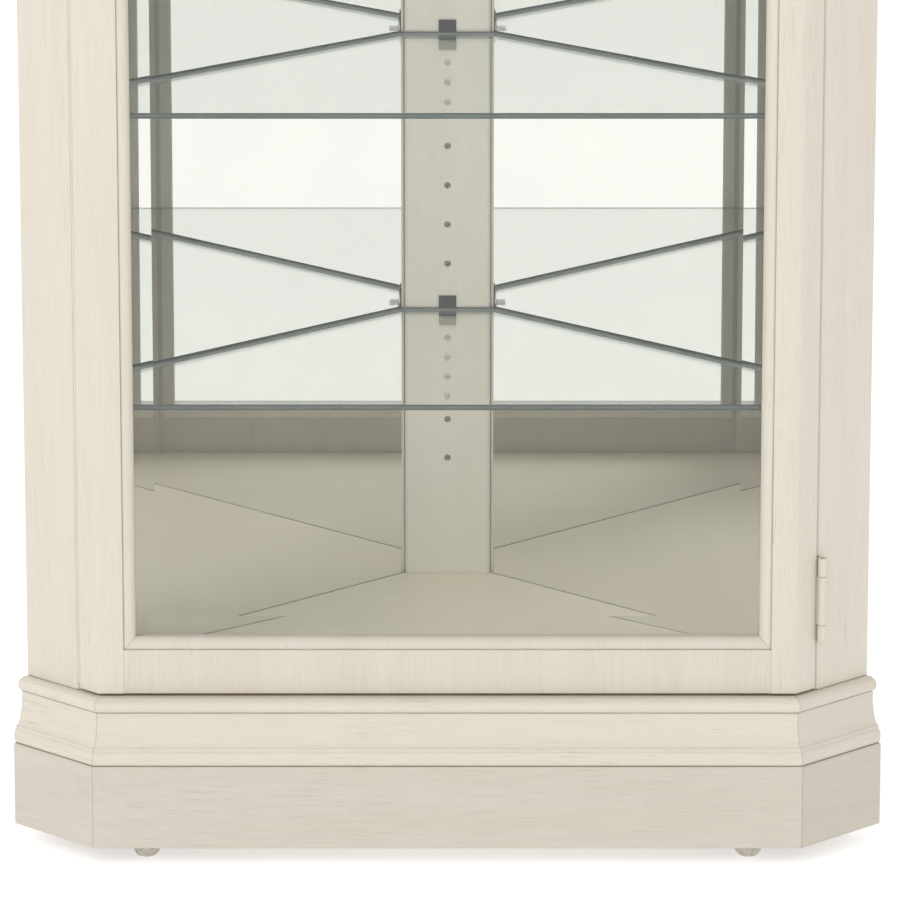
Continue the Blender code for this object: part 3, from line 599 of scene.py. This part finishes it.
def run_moulding(prefix, profile, paints):
    """Three mitred runs of one profile, which stand for the three solids of that name."""
    right = [(*front_corner(inset, -MITRE), z) for inset, z in profile]
    left = [(-x, depth, z) for x, depth, z in right]
    pieces = {"front": loft(f"{prefix}_front_run", left, right, paints["front"], "cabinet")}
    near = [(*front_corner(inset, MITRE), z) for inset, z in profile]
    far = [(*meet(PLINTH_HALF - inset * ROOT2, WALL_SUM), z) for inset, z in profile]
    pieces["right"] = loft(f"{prefix}_right_run", near, far, paints["right"], "cabinet")
    pieces["left"] = loft(
        f"{prefix}_left_run",
        [(-x, depth, z) for x, depth, z in near],
        [(-x, depth, z) for x, depth, z in far],
        paints["left"],
        "cabinet",
    )
    for side, piece in pieces.items():
        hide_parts(f"{prefix}_{side}")
    return pieces


plinth_runs = run_moulding("plinth", PLINTH_PROFILE, plinth_paint)
base_runs = run_moulding("base_moulding", BASE_PROFILE, moulding_paint)
crown_runs = run_moulding("crown", CROWN_PROFILE, moulding_paint)
print("runs:", [piece.name for runs in (plinth_runs, base_runs, crown_runs) for piece in runs.values()])

# %% [markdown]
# ## The door's frame
# Each stile and rail is a flat board with a moulded bead along the glass. On the real door the boards meet
# square and only the beads are mitred, so each member here is two closed shapes in one piece: the board,
# and a bead whose ends are cut at 45 degrees.

# %% Measures of the door
STILE_FLAT, RAIL_FLAT = 22.3 * MM, 39.8 * MM
BEAD_WIDTH, BEAD_DEPTH, REBATE = 10.7 * MM, 10.0 * MM, 7.0 * MM
BEAD_GAP = 0.04 * MM
SIDE_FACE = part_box("door_stile_right")[1].x - DOOR_REAR
STILE_IN = SIDE_FACE + DOOR_FACE - STILE_FLAT
SIGHT_X = STILE_IN - BEAD_WIDTH
SIGHT_LOW = DOOR_LOW + RAIL_FLAT + BEAD_WIDTH
SIGHT_HIGH = DOOR_HIGH - RAIL_FLAT - BEAD_WIDTH
print(f"glass shows {2 * SIGHT_X:.3f} m by {SIGHT_HIGH - SIGHT_LOW:.3f} m")


# %% Sections of the bead and of a rounded edge
def rounded(corner, radius, start, count=4):
    """Points of a small round between a face and an edge, from start degrees through a quarter turn."""
    x, y = corner
    return [
        (x + radius * math.cos(math.radians(start + 90 * i / count)),
         y + radius * math.sin(math.radians(start + 90 * i / count)))
        for i in range(count + 1)
    ]


def bead_outline(count=12):
    """The bead across its width, as (distance from the sight edge, depth behind the door's face)."""
    crest, foot, back = 1.1 * MM, BEAD_DEPTH - 1.4 * MM, DOOR_REAR - DOOR_FACE - 0.2 * MM
    curve = []
    for i in range(count + 1):
        turn = math.radians(90 * i / count)
        across = (BEAD_WIDTH - 1.3 * MM) * (1 - math.sin(turn))
        curve.append((across, foot - (foot - crest) * math.cos(turn)))
    return [
        (BEAD_WIDTH, 1.9 * MM), (BEAD_WIDTH - 0.5 * MM, 1.5 * MM), *curve, (0.0, BEAD_DEPTH),
        (REBATE, BEAD_DEPTH), (REBATE, back), (BEAD_WIDTH, back),
    ]


print("bead outline:", len(bead_outline()), "points")


# %% Stiles, rails and their beads
def join_pieces(name, *pieces):
    """One piece out of several closed shapes on the same body."""
    work = bmesh.new()
    for piece in pieces:
        work.from_mesh(piece.data)
    material = pieces[0].data.materials[0]
    body = pieces[0]["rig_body"]
    for piece in pieces:
        bpy.data.objects.remove(piece, do_unlink=True)
    return finish_mesh(name, work, material, body)


def stile(name, side):
    """An upright of the door; side is 1 for the right and -1 for the left."""
    radius = 0.12 * MM
    flat = [
        *rounded((STILE_IN + radius, DOOR_FACE + radius), radius, 180),
        (SIDE_FACE + DOOR_FACE - 1.0 * MM, DOOR_FACE),
        (SIDE_FACE + DOOR_FACE + 0.3 * MM, DOOR_FACE + 0.45 * MM),
        (SIDE_FACE + DOOR_FACE + 1.0 * MM, DOOR_FACE + 1.0 * MM),
        (SIDE_FACE + DOOR_REAR - 0.8 * MM, DOOR_REAR - 0.8 * MM),
        (SIDE_FACE + DOOR_REAR - 1.2 * MM, DOOR_REAR),
        (STILE_IN, DOOR_REAR),
    ]
    board = loft(
        name + "_board",
        [(side * x, depth, DOOR_LOW) for x, depth in flat],
        [(side * x, depth, DOOR_HIGH) for x, depth in flat],
        upright_paint, "door",
    )
    strip = bead_outline()
    bead = loft(
        name + "_bead",
        [(side * (SIGHT_X + w), DOOR_FACE + d, SIGHT_LOW - w + BEAD_GAP) for w, d in strip],
        [(side * (SIGHT_X + w), DOOR_FACE + d, SIGHT_HIGH + w - BEAD_GAP) for w, d in strip],
        upright_paint, "door",
    )
    return join_pieces(name, board, bead)


def rail(name, edge, sight, up):
    """A level board of the door, from its outer edge towards the glass; up is 1 for the bottom rail."""
    radius = 0.35 * MM
    inner = sight - up * BEAD_WIDTH
    flat = [
        (DOOR_FACE + 1.0 * MM, edge), (DOOR_FACE + 0.3 * MM, edge + up * 0.3 * MM),
        (DOOR_FACE, edge + up * MM), (DOOR_FACE, inner - up * radius),
        (DOOR_FACE + 0.1 * MM, inner - up * 0.1 * MM), (DOOR_FACE + radius, inner),
        (DOOR_REAR, inner), (DOOR_REAR, edge),
    ]
    half = STILE_IN - 0.004 * MM
    left = [(-half, depth, z) for depth, z in flat]
    right = [(half, depth, z) for depth, z in flat]
    board = loft(name + "_board", left, right, rail_paint, "door")
    strip = bead_outline()
    bead = loft(
        name + "_bead",
        [(-(SIGHT_X + w - BEAD_GAP), DOOR_FACE + d, sight - up * w) for w, d in strip],
        [(SIGHT_X + w - BEAD_GAP, DOOR_FACE + d, sight - up * w) for w, d in strip],
        rail_paint, "door",
    )
    return join_pieces(name, board, bead)


door_members = {
    "door_stile_right": stile("right_stile", 1),
    "door_stile_left": stile("left_stile", -1),
    "door_rail_bottom": rail("bottom_rail", DOOR_LOW, SIGHT_LOW, 1),
    "door_rail_top": rail("top_rail", DOOR_HIGH, SIGHT_HIGH, -1),
}
for solid, piece in door_members.items():
    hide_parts(solid)
print("door members:", [piece.name for piece in door_members.values()])

# %% [markdown]
# ## Inner paint and raw board
# Inside, the floor and the ceiling have the plain cream coat with almost no glaze. The backs and the rails
# behind the plinth are unpainted fibre board, with a fine felted speckle.

# %% Floor, ceiling, backs and blocks
INNER_CREAM = (0.86, 0.785, 0.635)
inner_paint = antique_paint("inner_paint", across=True, amount=0.06, cream=INNER_CREAM, ripple=0.03)
dress(inner_paint, "floor_panel", "ceiling_panel")


def fibre_board():
    """Pressed fibres: a fine light and dark speckle, with slow blotches under it."""
    material = bpy.data.materials.new("fibre_board")
    material.use_nodes = True
    tree = material.node_tree
    shader = tree.nodes["Principled BSDF"]
    where = node(tree, "ShaderNodeTexCoord").outputs["Object"]
    fibres = noise(tree, where, (700, 700, 300), 4.0, 0.7)
    blotch = noise(tree, where, (14, 14, 10), 3.0, 0.5)
    speckle = smooth_range(tree, fibres, 0.35, 0.68)
    colour = mix_colour(tree, speckle, (0.33, 0.235, 0.150), (0.46, 0.345, 0.235))
    blotches = smooth_range(tree, blotch, 0.4, 0.7, 0.0, 0.35)
    colour = mix_colour(tree, blotches, colour, (0.29, 0.20, 0.13))
    rough = smooth_range(tree, fibres, 0.3, 0.7, 0.72, 0.9)
    bump = node(tree, "ShaderNodeBump", strength=0.4, distance=0.2 * MM)
    wire(tree, (colour, shader.inputs["Base Color"]), (rough, shader.inputs["Roughness"]),
         (fibres, bump.inputs["Height"]), (bump.outputs[0], shader.inputs["Normal"]))
    return material


BOARD_KINDS = ("back_panel", "wall_rail", "corner_block")
boards = [f"{kind}_{side}" for kind in BOARD_KINDS for side in ("left", "right")]
dress(fibre_board(), *boards)
print("fibre board on", boards)

# %% [markdown]
# ## Mirrors and glass
# A mirror is a metal surface under glass, so it is a metal here with a faint green cast. The shelves and
# the door are clear glass. Glass that bends light also blocks it, which would leave the cabinet dark, so a
# ray on its way to a light goes straight through. The shelves' cut edges are green glass painted dark as
# painted shade: the mask is simply where the surface doesn't face up or down.


# %% Mirror
def mirror_finish():
    """A metal with a faint green cast and a slightly duller film in places."""
    material = bpy.data.materials.new("mirror_silver")
    material.use_nodes = True
    tree = material.node_tree
    shader = tree.nodes["Principled BSDF"]
    where = node(tree, "ShaderNodeTexCoord").outputs["Object"]
    marks = use_group(tree, smudge, Size=7.0)
    wire(tree, (where, marks.inputs["Vector"]))
    colour = mix_colour(tree, marks.outputs["Smudge"], (0.915, 0.918, 0.895), (0.895, 0.902, 0.878))
    rough = math_node(tree, "ADD", 0.004, math_node(tree, "MULTIPLY", marks.outputs["Smudge"], 0.02))
    shader.inputs["Metallic"].default_value = 1.0
    wire(tree, (colour, shader.inputs["Base Color"]), (rough, shader.inputs["Roughness"]))
    return material


dress(mirror_finish(), "mirror_left", "mirror_right")
print("mirrors silvered")


# %% Clear glass, with a green edge
def clear_glass(name, tint, edge_dark, edge_light, up_axis):
    """Clear glass with green cut edges; up_axis is the axis across the sheet."""
    material = bpy.data.materials.new(name)
    material.use_nodes = True
    tree = material.node_tree
    shader = tree.nodes["Principled BSDF"]
    out = tree.nodes["Material Output"]
    coordinates = node(tree, "ShaderNodeTexCoord")
    marks = use_group(tree, smudge, Size=11.0)
    facing = node(tree, "ShaderNodeSeparateXYZ")
    height = node(tree, "ShaderNodeSeparateXYZ")
    wire(
        tree,
        (coordinates.outputs["Object"], marks.inputs["Vector"]),
        (coordinates.outputs["Normal"], facing.inputs[0]),
        (coordinates.outputs["Generated"], height.inputs[0]),
    )
    flat = math_node(tree, "ABSOLUTE", facing.outputs[up_axis])
    # The cut edge is green glass painted dark, darker still at the two arrises: painted shade for light run
    # along the sheet.
    cut = smooth_range(tree, flat, 0.55, 0.35)
    from_middle = math_node(tree, "ABSOLUTE", math_node(tree, "SUBTRACT", height.outputs[up_axis], 0.5))
    arris = smooth_range(tree, from_middle, 0.16, 0.34)
    edge_colour = mix_colour(tree, arris, edge_light, edge_dark)
    colour = mix_colour(tree, cut, tint, edge_colour)
    rough = math_node(tree, "MULTIPLY", marks.outputs["Smudge"], 0.015)
    shader.inputs["Transmission Weight"].default_value = 1.0
    shader.inputs["IOR"].default_value = 1.5
    clear = node(tree, "ShaderNodeBsdfTransparent")
    clear.inputs["Color"].default_value = (0.975, 0.985, 0.975, 1)
    path = node(tree, "ShaderNodeLightPath")
    passing = math_node(tree, "MAXIMUM", path.outputs["Is Shadow Ray"], path.outputs["Is Diffuse Ray"])
    choose = node(tree, "ShaderNodeMixShader")
    wire(
        tree,
        (colour, shader.inputs["Base Color"]),
        (rough, shader.inputs["Roughness"]),
        (passing, choose.inputs[0]),
        (shader.outputs[0], choose.inputs[1]),
        (clear.outputs[0], choose.inputs[2]),
        (choose.outputs[0], out.inputs["Surface"]),
    )
    return material


shelf_glass = clear_glass(
    "shelf_glass", tint=(0.962, 0.980, 0.962), edge_dark=(0.030, 0.050, 0.045), edge_light=(0.16, 0.21, 0.18),
    up_axis="Z",
)
door_glass = clear_glass(
    "door_glass", tint=(0.985, 0.992, 0.985), edge_dark=(0.20, 0.28, 0.25), edge_light=(0.35, 0.45, 0.40),
    up_axis="Y",
)
shelves = sorted(name for name in nodes if name.startswith("glass_shelf_"))
dress(shelf_glass, *shelves)
dress(door_glass, "door_glass")
print("glass on the door and", len(shelves), "shelves")

# %% [markdown]
# ## Ground edges of the shelves
# Looking into the edge of a sheet of glass, the light that reaches the eye has run along the sheet, so the
# edge is dark grey-green with darker lines where it meets the two faces. That path is far too long to
# trace, so each shelf carries a thin strip round its outline that has those colours. Along the mirrors a
# second strip stands a little above the sheet, because there the edge is seen twice, once in the mirror.


# %% The colour of a ground edge
def edge_finish():
    """Grey-green with two darker lines, and a soft gloss."""
    material = bpy.data.materials.new("ground_glass_edge")
    material.use_nodes = True
    tree = material.node_tree
    shader = tree.nodes["Principled BSDF"]
    coordinates = node(tree, "ShaderNodeTexCoord")
    height = node(tree, "ShaderNodeSeparateXYZ")
    wire(tree, (coordinates.outputs["Generated"], height.inputs[0]))
    from_middle = math_node(tree, "ABSOLUTE", math_node(tree, "SUBTRACT", height.outputs["Z"], 0.5))
    streak = noise(tree, coordinates.outputs["Object"], (14, 14, 260), 3.0, 0.6)
    streaked = smooth_range(tree, streak, 0.3, 0.7)
    middle = mix_colour(tree, streaked, (0.125, 0.160, 0.140), (0.200, 0.235, 0.200))
    arris = smooth_range(tree, from_middle, 0.24, 0.42)
    colour = mix_colour(tree, arris, middle, (0.028, 0.046, 0.041))
    shader.inputs["Coat Weight"].default_value = 0.5
    wire(tree, (colour, shader.inputs["Base Color"]),
         (smooth_range(tree, streak, 0.3, 0.7, 0.18, 0.34), shader.inputs["Roughness"]))
    return material


edge_glass = edge_finish()
print("ground edge has", len(edge_glass.node_tree.nodes), "nodes")


# %% Strips round each shelf
def middle_of(outline):
    """The mean of an outline's corners."""
    return sum((Vector(point) for point in outline), Vector((0.0, 0.0))) / len(outline)


def shelf_outline(name):
    """Corners of a shelf in (x, y), read from its top face, in order round the sheet."""
    mesh = nodes[name].data
    top = max(corner.co.z for corner in mesh.vertices)
    found = {(round(c.co.x, 5), round(c.co.y, 5)) for c in mesh.vertices if abs(c.co.z - top) < 0.1 * MM}
    middle = middle_of(found)
    return sorted(found, key=lambda p: math.atan2(p[1] - middle.y, p[0] - middle.x))


def edge_strip(name, outline, low, high, inner, outer, closed, body):
    """A thin upright strip along an outline, between two distances outside it."""
    middle = middle_of(outline)
    work = bmesh.new()
    rows = []
    for x, y in outline:
        away = (Vector((x, y)) - middle).normalized()
        rows.append([
            work.verts.new((x + away.x * out, y + away.y * out, z))
            for out, z in ((inner, low), (outer, low), (outer, high), (inner, high))
        ])
    for first, second in zip(rows, rows[1:] + rows[:1] if closed else rows[1:]):
        for i in range(4):
            j = (i + 1) % 4
            work.faces.new((first[i], first[j], second[j], second[i]))
    if not closed:
        work.faces.new(rows[0])
        work.faces.new(rows[-1])
    strip = finish_mesh(name, work, edge_glass, body)


LIP = 3.2 * MM
ARRIS = 0.05 * MM
EDGE_STRIP, MIRROR_STRIP = (0.25 * MM, 0.46 * MM), (0.50 * MM, 0.75 * MM)
CORNER_REACH = 60 * MM
for name in shelves:
    low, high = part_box(name)
    body = name.replace("glass_", "")
    outline = shelf_outline(name)
    edge_strip(name + "_edge", outline, low.z + ARRIS, high.z - ARRIS, *EDGE_STRIP, True, body)
    across = sorted(outline, key=lambda point: point[0])
    rear = [point for point in across if point[1] > high.y - CORNER_REACH]
    at_mirrors = [across[0], *rear, across[-1]]
    edge_strip(name + "_mirror_edge", at_mirrors, low.z, high.z + LIP, *MIRROR_STRIP, False, body)
print("strips on", len(shelves), "shelves,", len(outline), "corners,", len(at_mirrors), "along the mirrors")

# %% [markdown]
# ## Behind the door's glass
# The glass is held in its rebate by four cream retainers, L-shaped in section, with one leg against the
# glass and one lapped over the back of the door. They show as a shaded line in the mirrors.


# %% Four glass retainers
def soft_plastic(name, dark, light, roughness):
    """A dull plastic with a pebbled skin and a little dust."""
    material = bpy.data.materials.new(name)
    material.use_nodes = True
    tree = material.node_tree
    shader = tree.nodes["Principled BSDF"]
    where = node(tree, "ShaderNodeTexCoord").outputs["Object"]
    pebble = noise(tree, where, (1400, 1400, 1400), 2.0, 0.5)
    dust = noise(tree, where, (160, 160, 160), 4.0, 0.6)
    colour = mix_colour(tree, smooth_range(tree, dust, 0.40, 0.75, 0.0, 0.7), dark, light)
    bump = node(tree, "ShaderNodeBump", strength=0.3, distance=0.1 * MM)
    wire(tree, (colour, shader.inputs["Base Color"]),
         (smooth_range(tree, dust, 0.3, 0.7, roughness, roughness + 0.2), shader.inputs["Roughness"]),
         (pebble, bump.inputs["Height"]), (bump.outputs[0], shader.inputs["Normal"]))
    return material


retainer_finish = soft_plastic("pale_retainer", (0.78, 0.74, 0.66), (0.86, 0.82, 0.75), 0.45)
GLASS_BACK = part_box("door_glass")[1].y - FRONT_Y
RETAINER = [
    (0.6 * MM, GLASS_BACK + 0.2 * MM), (5.8 * MM, GLASS_BACK + 0.2 * MM), (5.8 * MM, DOOR_REAR + 0.2 * MM),
    (11.6 * MM, DOOR_REAR + 0.2 * MM), (11.6 * MM, DOOR_REAR + 1.0 * MM), (11.0 * MM, DOOR_REAR + 1.5 * MM),
    (2.2 * MM, DOOR_REAR + 1.5 * MM), (0.6 * MM, DOOR_REAR + 0.4 * MM),
]
# For each retainer, the two corners of the opening that it runs between: (side, up).
RETAINER_ENDS = {
    "retainer_right": ((1, -1), (1, 1)),
    "retainer_left": ((-1, -1), (-1, 1)),
    "retainer_bottom": ((-1, -1), (1, -1)),
    "retainer_top": ((-1, 1), (1, 1)),
}


def retainer_end(side, up):
    """The retainer's section, mitred at one corner of the opening."""
    sight = SIGHT_HIGH if up > 0 else SIGHT_LOW
    return [(side * (SIGHT_X + w), d, sight + up * w) for w, d in RETAINER]


for name, corners in RETAINER_ENDS.items():
    retainer = loft(name, *[retainer_end(*corner) for corner in corners], retainer_finish, "door")
print("retainers behind glass that ends", round(1000 * GLASS_BACK, 1), "mm back")

# %% [markdown]
# ## Metal and plastic
# The hinges were painted with the cabinet, and only their pins and the gap beside them show bare metal.
# The shelf supports are black moulded plastic with a dull, faintly pebbled skin.


# %% Hinges, pins, knob and supports
def metal(name, dark, light, roughness):
    """Tarnished metal: darker and duller in places, with fine turning marks."""
    material = bpy.data.materials.new(name)
    material.use_nodes = True
    tree = material.node_tree
    shader = tree.nodes["Principled BSDF"]
    where = node(tree, "ShaderNodeTexCoord").outputs["Object"]
    tarnish = noise(tree, where, (90, 90, 90), 5.0, 0.65)
    turning = noise(tree, where, (60, 60, 2400), 2.0, 0.5)
    shader.inputs["Metallic"].default_value = 1.0
    clean = smooth_range(tree, tarnish, 0.35, 0.7)
    bump = node(tree, "ShaderNodeBump", strength=0.15, distance=0.1 * MM)
    wire(
        tree,
        (mix_colour(tree, clean, dark, light), shader.inputs["Base Color"]),
        (smooth_range(tree, tarnish, 0.3, 0.7, roughness + 0.15, roughness), shader.inputs["Roughness"]),
        (turning, bump.inputs["Height"]),
        (bump.outputs[0], shader.inputs["Normal"]),
    )
    return material


pin_steel = metal("pin_steel", (0.20, 0.17, 0.13), (0.42, 0.39, 0.34), 0.32)
knob_metal = metal("aged_knob", (0.16, 0.13, 0.10), (0.36, 0.31, 0.25), 0.34)
plastic = soft_plastic("black_plastic", (0.018, 0.018, 0.019), (0.060, 0.056, 0.050), 0.45)
dress(pin_steel, *(name for name in nodes if name.endswith("_pin")))
dress(knob_metal, "door_knob")
dress(plastic, *(name for name in nodes if "support" in name))
dress(antique_paint("painted_hinge", amount=0.25), *(name for name in nodes if name.endswith("_leaf")))
print("pins, knob, supports and hinge leaves finished")

# %% [markdown]
# ## Levelling feet
# The feet are cloudy, nearly clear plastic, ribbed round the bowl so that they can be turned by hand. Each
# is a profile turned about its stem. The ribs come from a radius that waves as it goes round.


# %% A turned solid, with or without ribs
def turned(name, profile, place, aim, material, body, sides=24, ribs=0, rib_depth=0.0):
    """A profile of (radius, height) turned about the aim direction, with ribs where it is wide."""
    work = bmesh.new()
    pose = Matrix.Translation(place) @ Vector(aim).to_track_quat("Z", "Y").to_matrix().to_4x4()
    widest = max(radius for radius, _ in profile)
    loops = []
    for radius, height in profile:
        loop = []
        for i in range(sides):
            turn = 2 * math.pi * i / sides
            notch = rib_depth * (0.5 - 0.5 * math.cos(ribs * turn)) if radius > 0.7 * widest else 0.0
            reach = radius - notch
            corner = Vector((reach * math.cos(turn), reach * math.sin(turn), height))
            loop.append(work.verts.new(pose @ corner))
        loops.append(loop)
    for first, second in zip(loops, loops[1:]):
        for i in range(sides):
            j = (i + 1) % sides
            work.faces.new((first[i], first[j], second[j], second[i]))
    work.faces.new(loops[0])
    work.faces.new(loops[-1])
    return finish_mesh(name, work, material, body)


print("turned pieces ready")


# %% Three ribbed feet
def cloudy_plastic():
    """Nearly clear plastic with cloudy places."""
    material = bpy.data.materials.new("cloudy_plastic")
    material.use_nodes = True
    tree = material.node_tree
    shader = tree.nodes["Principled BSDF"]
    where = node(tree, "ShaderNodeTexCoord").outputs["Object"]
    cloud = noise(tree, where, (220, 220, 220), 3.0, 0.6)
    clouded = smooth_range(tree, cloud, 0.35, 0.7)
    colour = mix_colour(tree, clouded, (0.80, 0.77, 0.70), (0.58, 0.54, 0.46))
    shader.inputs["Transmission Weight"].default_value = 0.35
    shader.inputs["IOR"].default_value = 1.46
    wire(tree, (colour, shader.inputs["Base Color"]),
         (smooth_range(tree, cloud, 0.3, 0.7, 0.16, 0.34), shader.inputs["Roughness"]))
    return material


def foot_profile(radius, height):
    """A bowl that widens upward from a flat sole, a rim, and the stem above it."""
    rim, stem = 12.5 * MM, 3.9 * MM
    profile = [(0.54 * radius, 0.0), (0.64 * radius, 0.4 * MM)]
    for angle in range(15, 91, 15):
        turn = math.radians(angle)
        profile.append(((0.62 + 0.38 * math.sin(turn)) * radius, (11.2 - 10.4 * math.cos(turn)) * MM))
    return [*profile, (0.97 * radius, 12.1 * MM), (0.86 * radius, rim), (stem, rim), (stem, height)]


RIBS, RIB_DEPTH = 16, 0.9 * MM
foot_plastic = cloudy_plastic()
for side in ("left", "right", "rear"):
    low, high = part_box(f"leveller_{side}")
    foot = turned(
        f"foot_{side}_bowl", foot_profile((high.x - low.x) / 2, high.z - low.z),
        ((low.x + high.x) / 2, (low.y + high.y) / 2, low.z), (0, 0, 1),
        foot_plastic, f"foot_{side}", sides=6 * RIBS, ribs=RIBS, rib_depth=RIB_DEPTH,
    )
    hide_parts(f"leveller_{side}")
print("3 feet with", RIBS, "ribs each")

# %% [markdown]
# ## Second supports
# A second support stands under each end of every shelf, nearer the mirror, on the post's second column of
# holes. It is a copy of the first one, moved back along the post's face.


# %% Second column of supports
COLUMN_STEP = 30 * MM / ROOT2
for number in range(1, len(shelves) + 1):
    for side, turn in (("left", -1), ("right", 1)):
        pattern = nodes[f"shelf_{number}_support_{side}"]
        mesh = pattern.data.copy()
        mesh.transform(pattern.matrix_world)
        mesh.transform(Matrix.Translation((turn * COLUMN_STEP, COLUMN_STEP, 0)))
        work = bmesh.new()
        work.from_mesh(mesh)
        clip = finish_mesh(f"shelf_{number}_support_{side}_inner", work, plastic, "cabinet")
print(2 * len(shelves), "more supports")


# %% [markdown]
# ## Dust strip
# A painted strip closes the gap between the door's free edge and the left post, so no light shows there.

# %% Dust strip
POST_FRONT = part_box("side_post_left")[0].y - FRONT_Y
STRIP_WIDTH, STRIP_END = 8.5 * MM, 4 * MM
strip_depths = (DOOR_REAR + 0.25 * MM, POST_FRONT - 0.05 * MM)
strip_plan = [(SIDE_FACE + depth - 0.5 * MM, depth) for depth in strip_depths]
strip_plan += [(SIDE_FACE + depth - 0.5 * MM - STRIP_WIDTH, depth) for depth in reversed(strip_depths)]
strip_low, strip_high = (
    [(-x, depth, z) for x, depth in strip_plan] for z in (DOOR_LOW + STRIP_END, DOOR_HIGH - STRIP_END)
)
dust_strip = loft("dust_strip", strip_low, strip_high, upright_paint, "cabinet")
print(f"dust strip {(strip_depths[1] - strip_depths[0]) / MM:.1f} mm thick")

# %% [markdown]
# ## Catch and bumpers
# A magnetic catch under the ceiling holds the door by a steel plate, and two soft bumpers on the door quiet
# its closing. The catch is a case with two steel jaws that carry the magnet's pull to the plate.


# %% Magnetic catch and its strike plate
def block(name, x, depth, z, edge, material, body):
    """A box with small rounded edges, given by its ranges in x, depth and z."""
    work = bmesh.new()
    size = Matrix.Diagonal((x[1] - x[0], depth[1] - depth[0], z[1] - z[0], 1))
    place = Matrix.Translation((sum(x) / 2, FRONT_Y + sum(depth) / 2, sum(z) / 2))
    bmesh.ops.create_cube(work, size=1, matrix=place @ size)
    bmesh.ops.bevel(work, geom=work.edges[:], offset=edge, segments=2, affect="EDGES")
    return finish_mesh(name, work, material, body)


def span(middle, half):
    """A range about its middle."""
    return middle - half, middle + half


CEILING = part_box("ceiling_panel")[0].z
CATCH_X = 40 * MM - SIGHT_X
CATCH_HALF, PLATE_HALF, JAW_HALF, JAW_OFFSET = 23 * MM, 18 * MM, 6 * MM, 9 * MM
catch = block(
    "magnetic_catch", span(CATCH_X, CATCH_HALF), (DOOR_REAR + 2.6 * MM, DOOR_REAR + 17 * MM),
    (CEILING - 13.3 * MM, CEILING - CLEARANCE), 0.8 * MM, plastic, "cabinet",
)
plate = block(
    "strike_plate", span(CATCH_X, PLATE_HALF), (DOOR_REAR + 0.2 * MM, DOOR_REAR + 1.4 * MM),
    (CEILING - 15 * MM, CEILING - 4 * MM), 0.3 * MM, pin_steel, "door",
)
for side, offset in (("left", -JAW_OFFSET), ("right", JAW_OFFSET)):
    jaw = block(
        f"catch_jaw_{side}", span(CATCH_X + offset, JAW_HALF), (DOOR_REAR + 1.6 * MM, DOOR_REAR + 2.5 * MM),
        (CEILING - 10 * MM, CEILING - 7 * MM), 0.2 * MM, pin_steel, "cabinet",
    )
print(f"catch {-CATCH_X:.3f} m left of the middle")

# %% Two bumpers
BUMPER = [(4.0 * MM, 0.0), (4.2 * MM, 0.5 * MM), (3.6 * MM, 1.2 * MM), (2.2 * MM, 1.6 * MM)]
BUMPER_X, BUMPER_END = -(STILE_IN + 10 * MM), 30 * MM
for end, z in (("low", DOOR_LOW + BUMPER_END), ("high", DOOR_HIGH - BUMPER_END)):
    place = (BUMPER_X, FRONT_Y + DOOR_REAR + 0.1 * MM, z)
    bumper = turned(f"bumper_{end}", BUMPER, place, (0, 1, 0), foot_plastic, "door")
print("2 bumpers behind the left stile")

# %% [markdown]
# ## Screws in the back
# Each back panel is screwed to the posts along its two long edges. The screws are turned from a profile
# whose middle dips, as a countersunk head's recess does.

# %% Two columns of screws on each back
SCREW = [
    (3.4 * MM, 0.0), (3.5 * MM, 0.3 * MM), (3.0 * MM, 1.0 * MM), (1.6 * MM, 1.5 * MM), (1.1 * MM, 0.6 * MM),
]
SCREW_ROWS, SCREW_END = 8, 60 * MM
BACK_LOW, BACK_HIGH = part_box("back_panel_right")
COLUMNS = (BACK_HIGH.x - 10 * MM, BACK_LOW.x + 14 * MM)
for turn, side in ((1, "right"), (-1, "left")):
    for row in range(SCREW_ROWS):
        z = BACK_LOW.z + SCREW_END + row * (BACK_HIGH.z - BACK_LOW.z - 2 * SCREW_END) / (SCREW_ROWS - 1)
        for column, x in enumerate(COLUMNS):
            name = f"back_screw_{side}_{row}_{column}"
            place = (turn * x, FRONT_Y + WALL_SUM - x, z)
            turned(name, SCREW, place, (turn, 1, 0), pin_steel, "cabinet", sides=16)
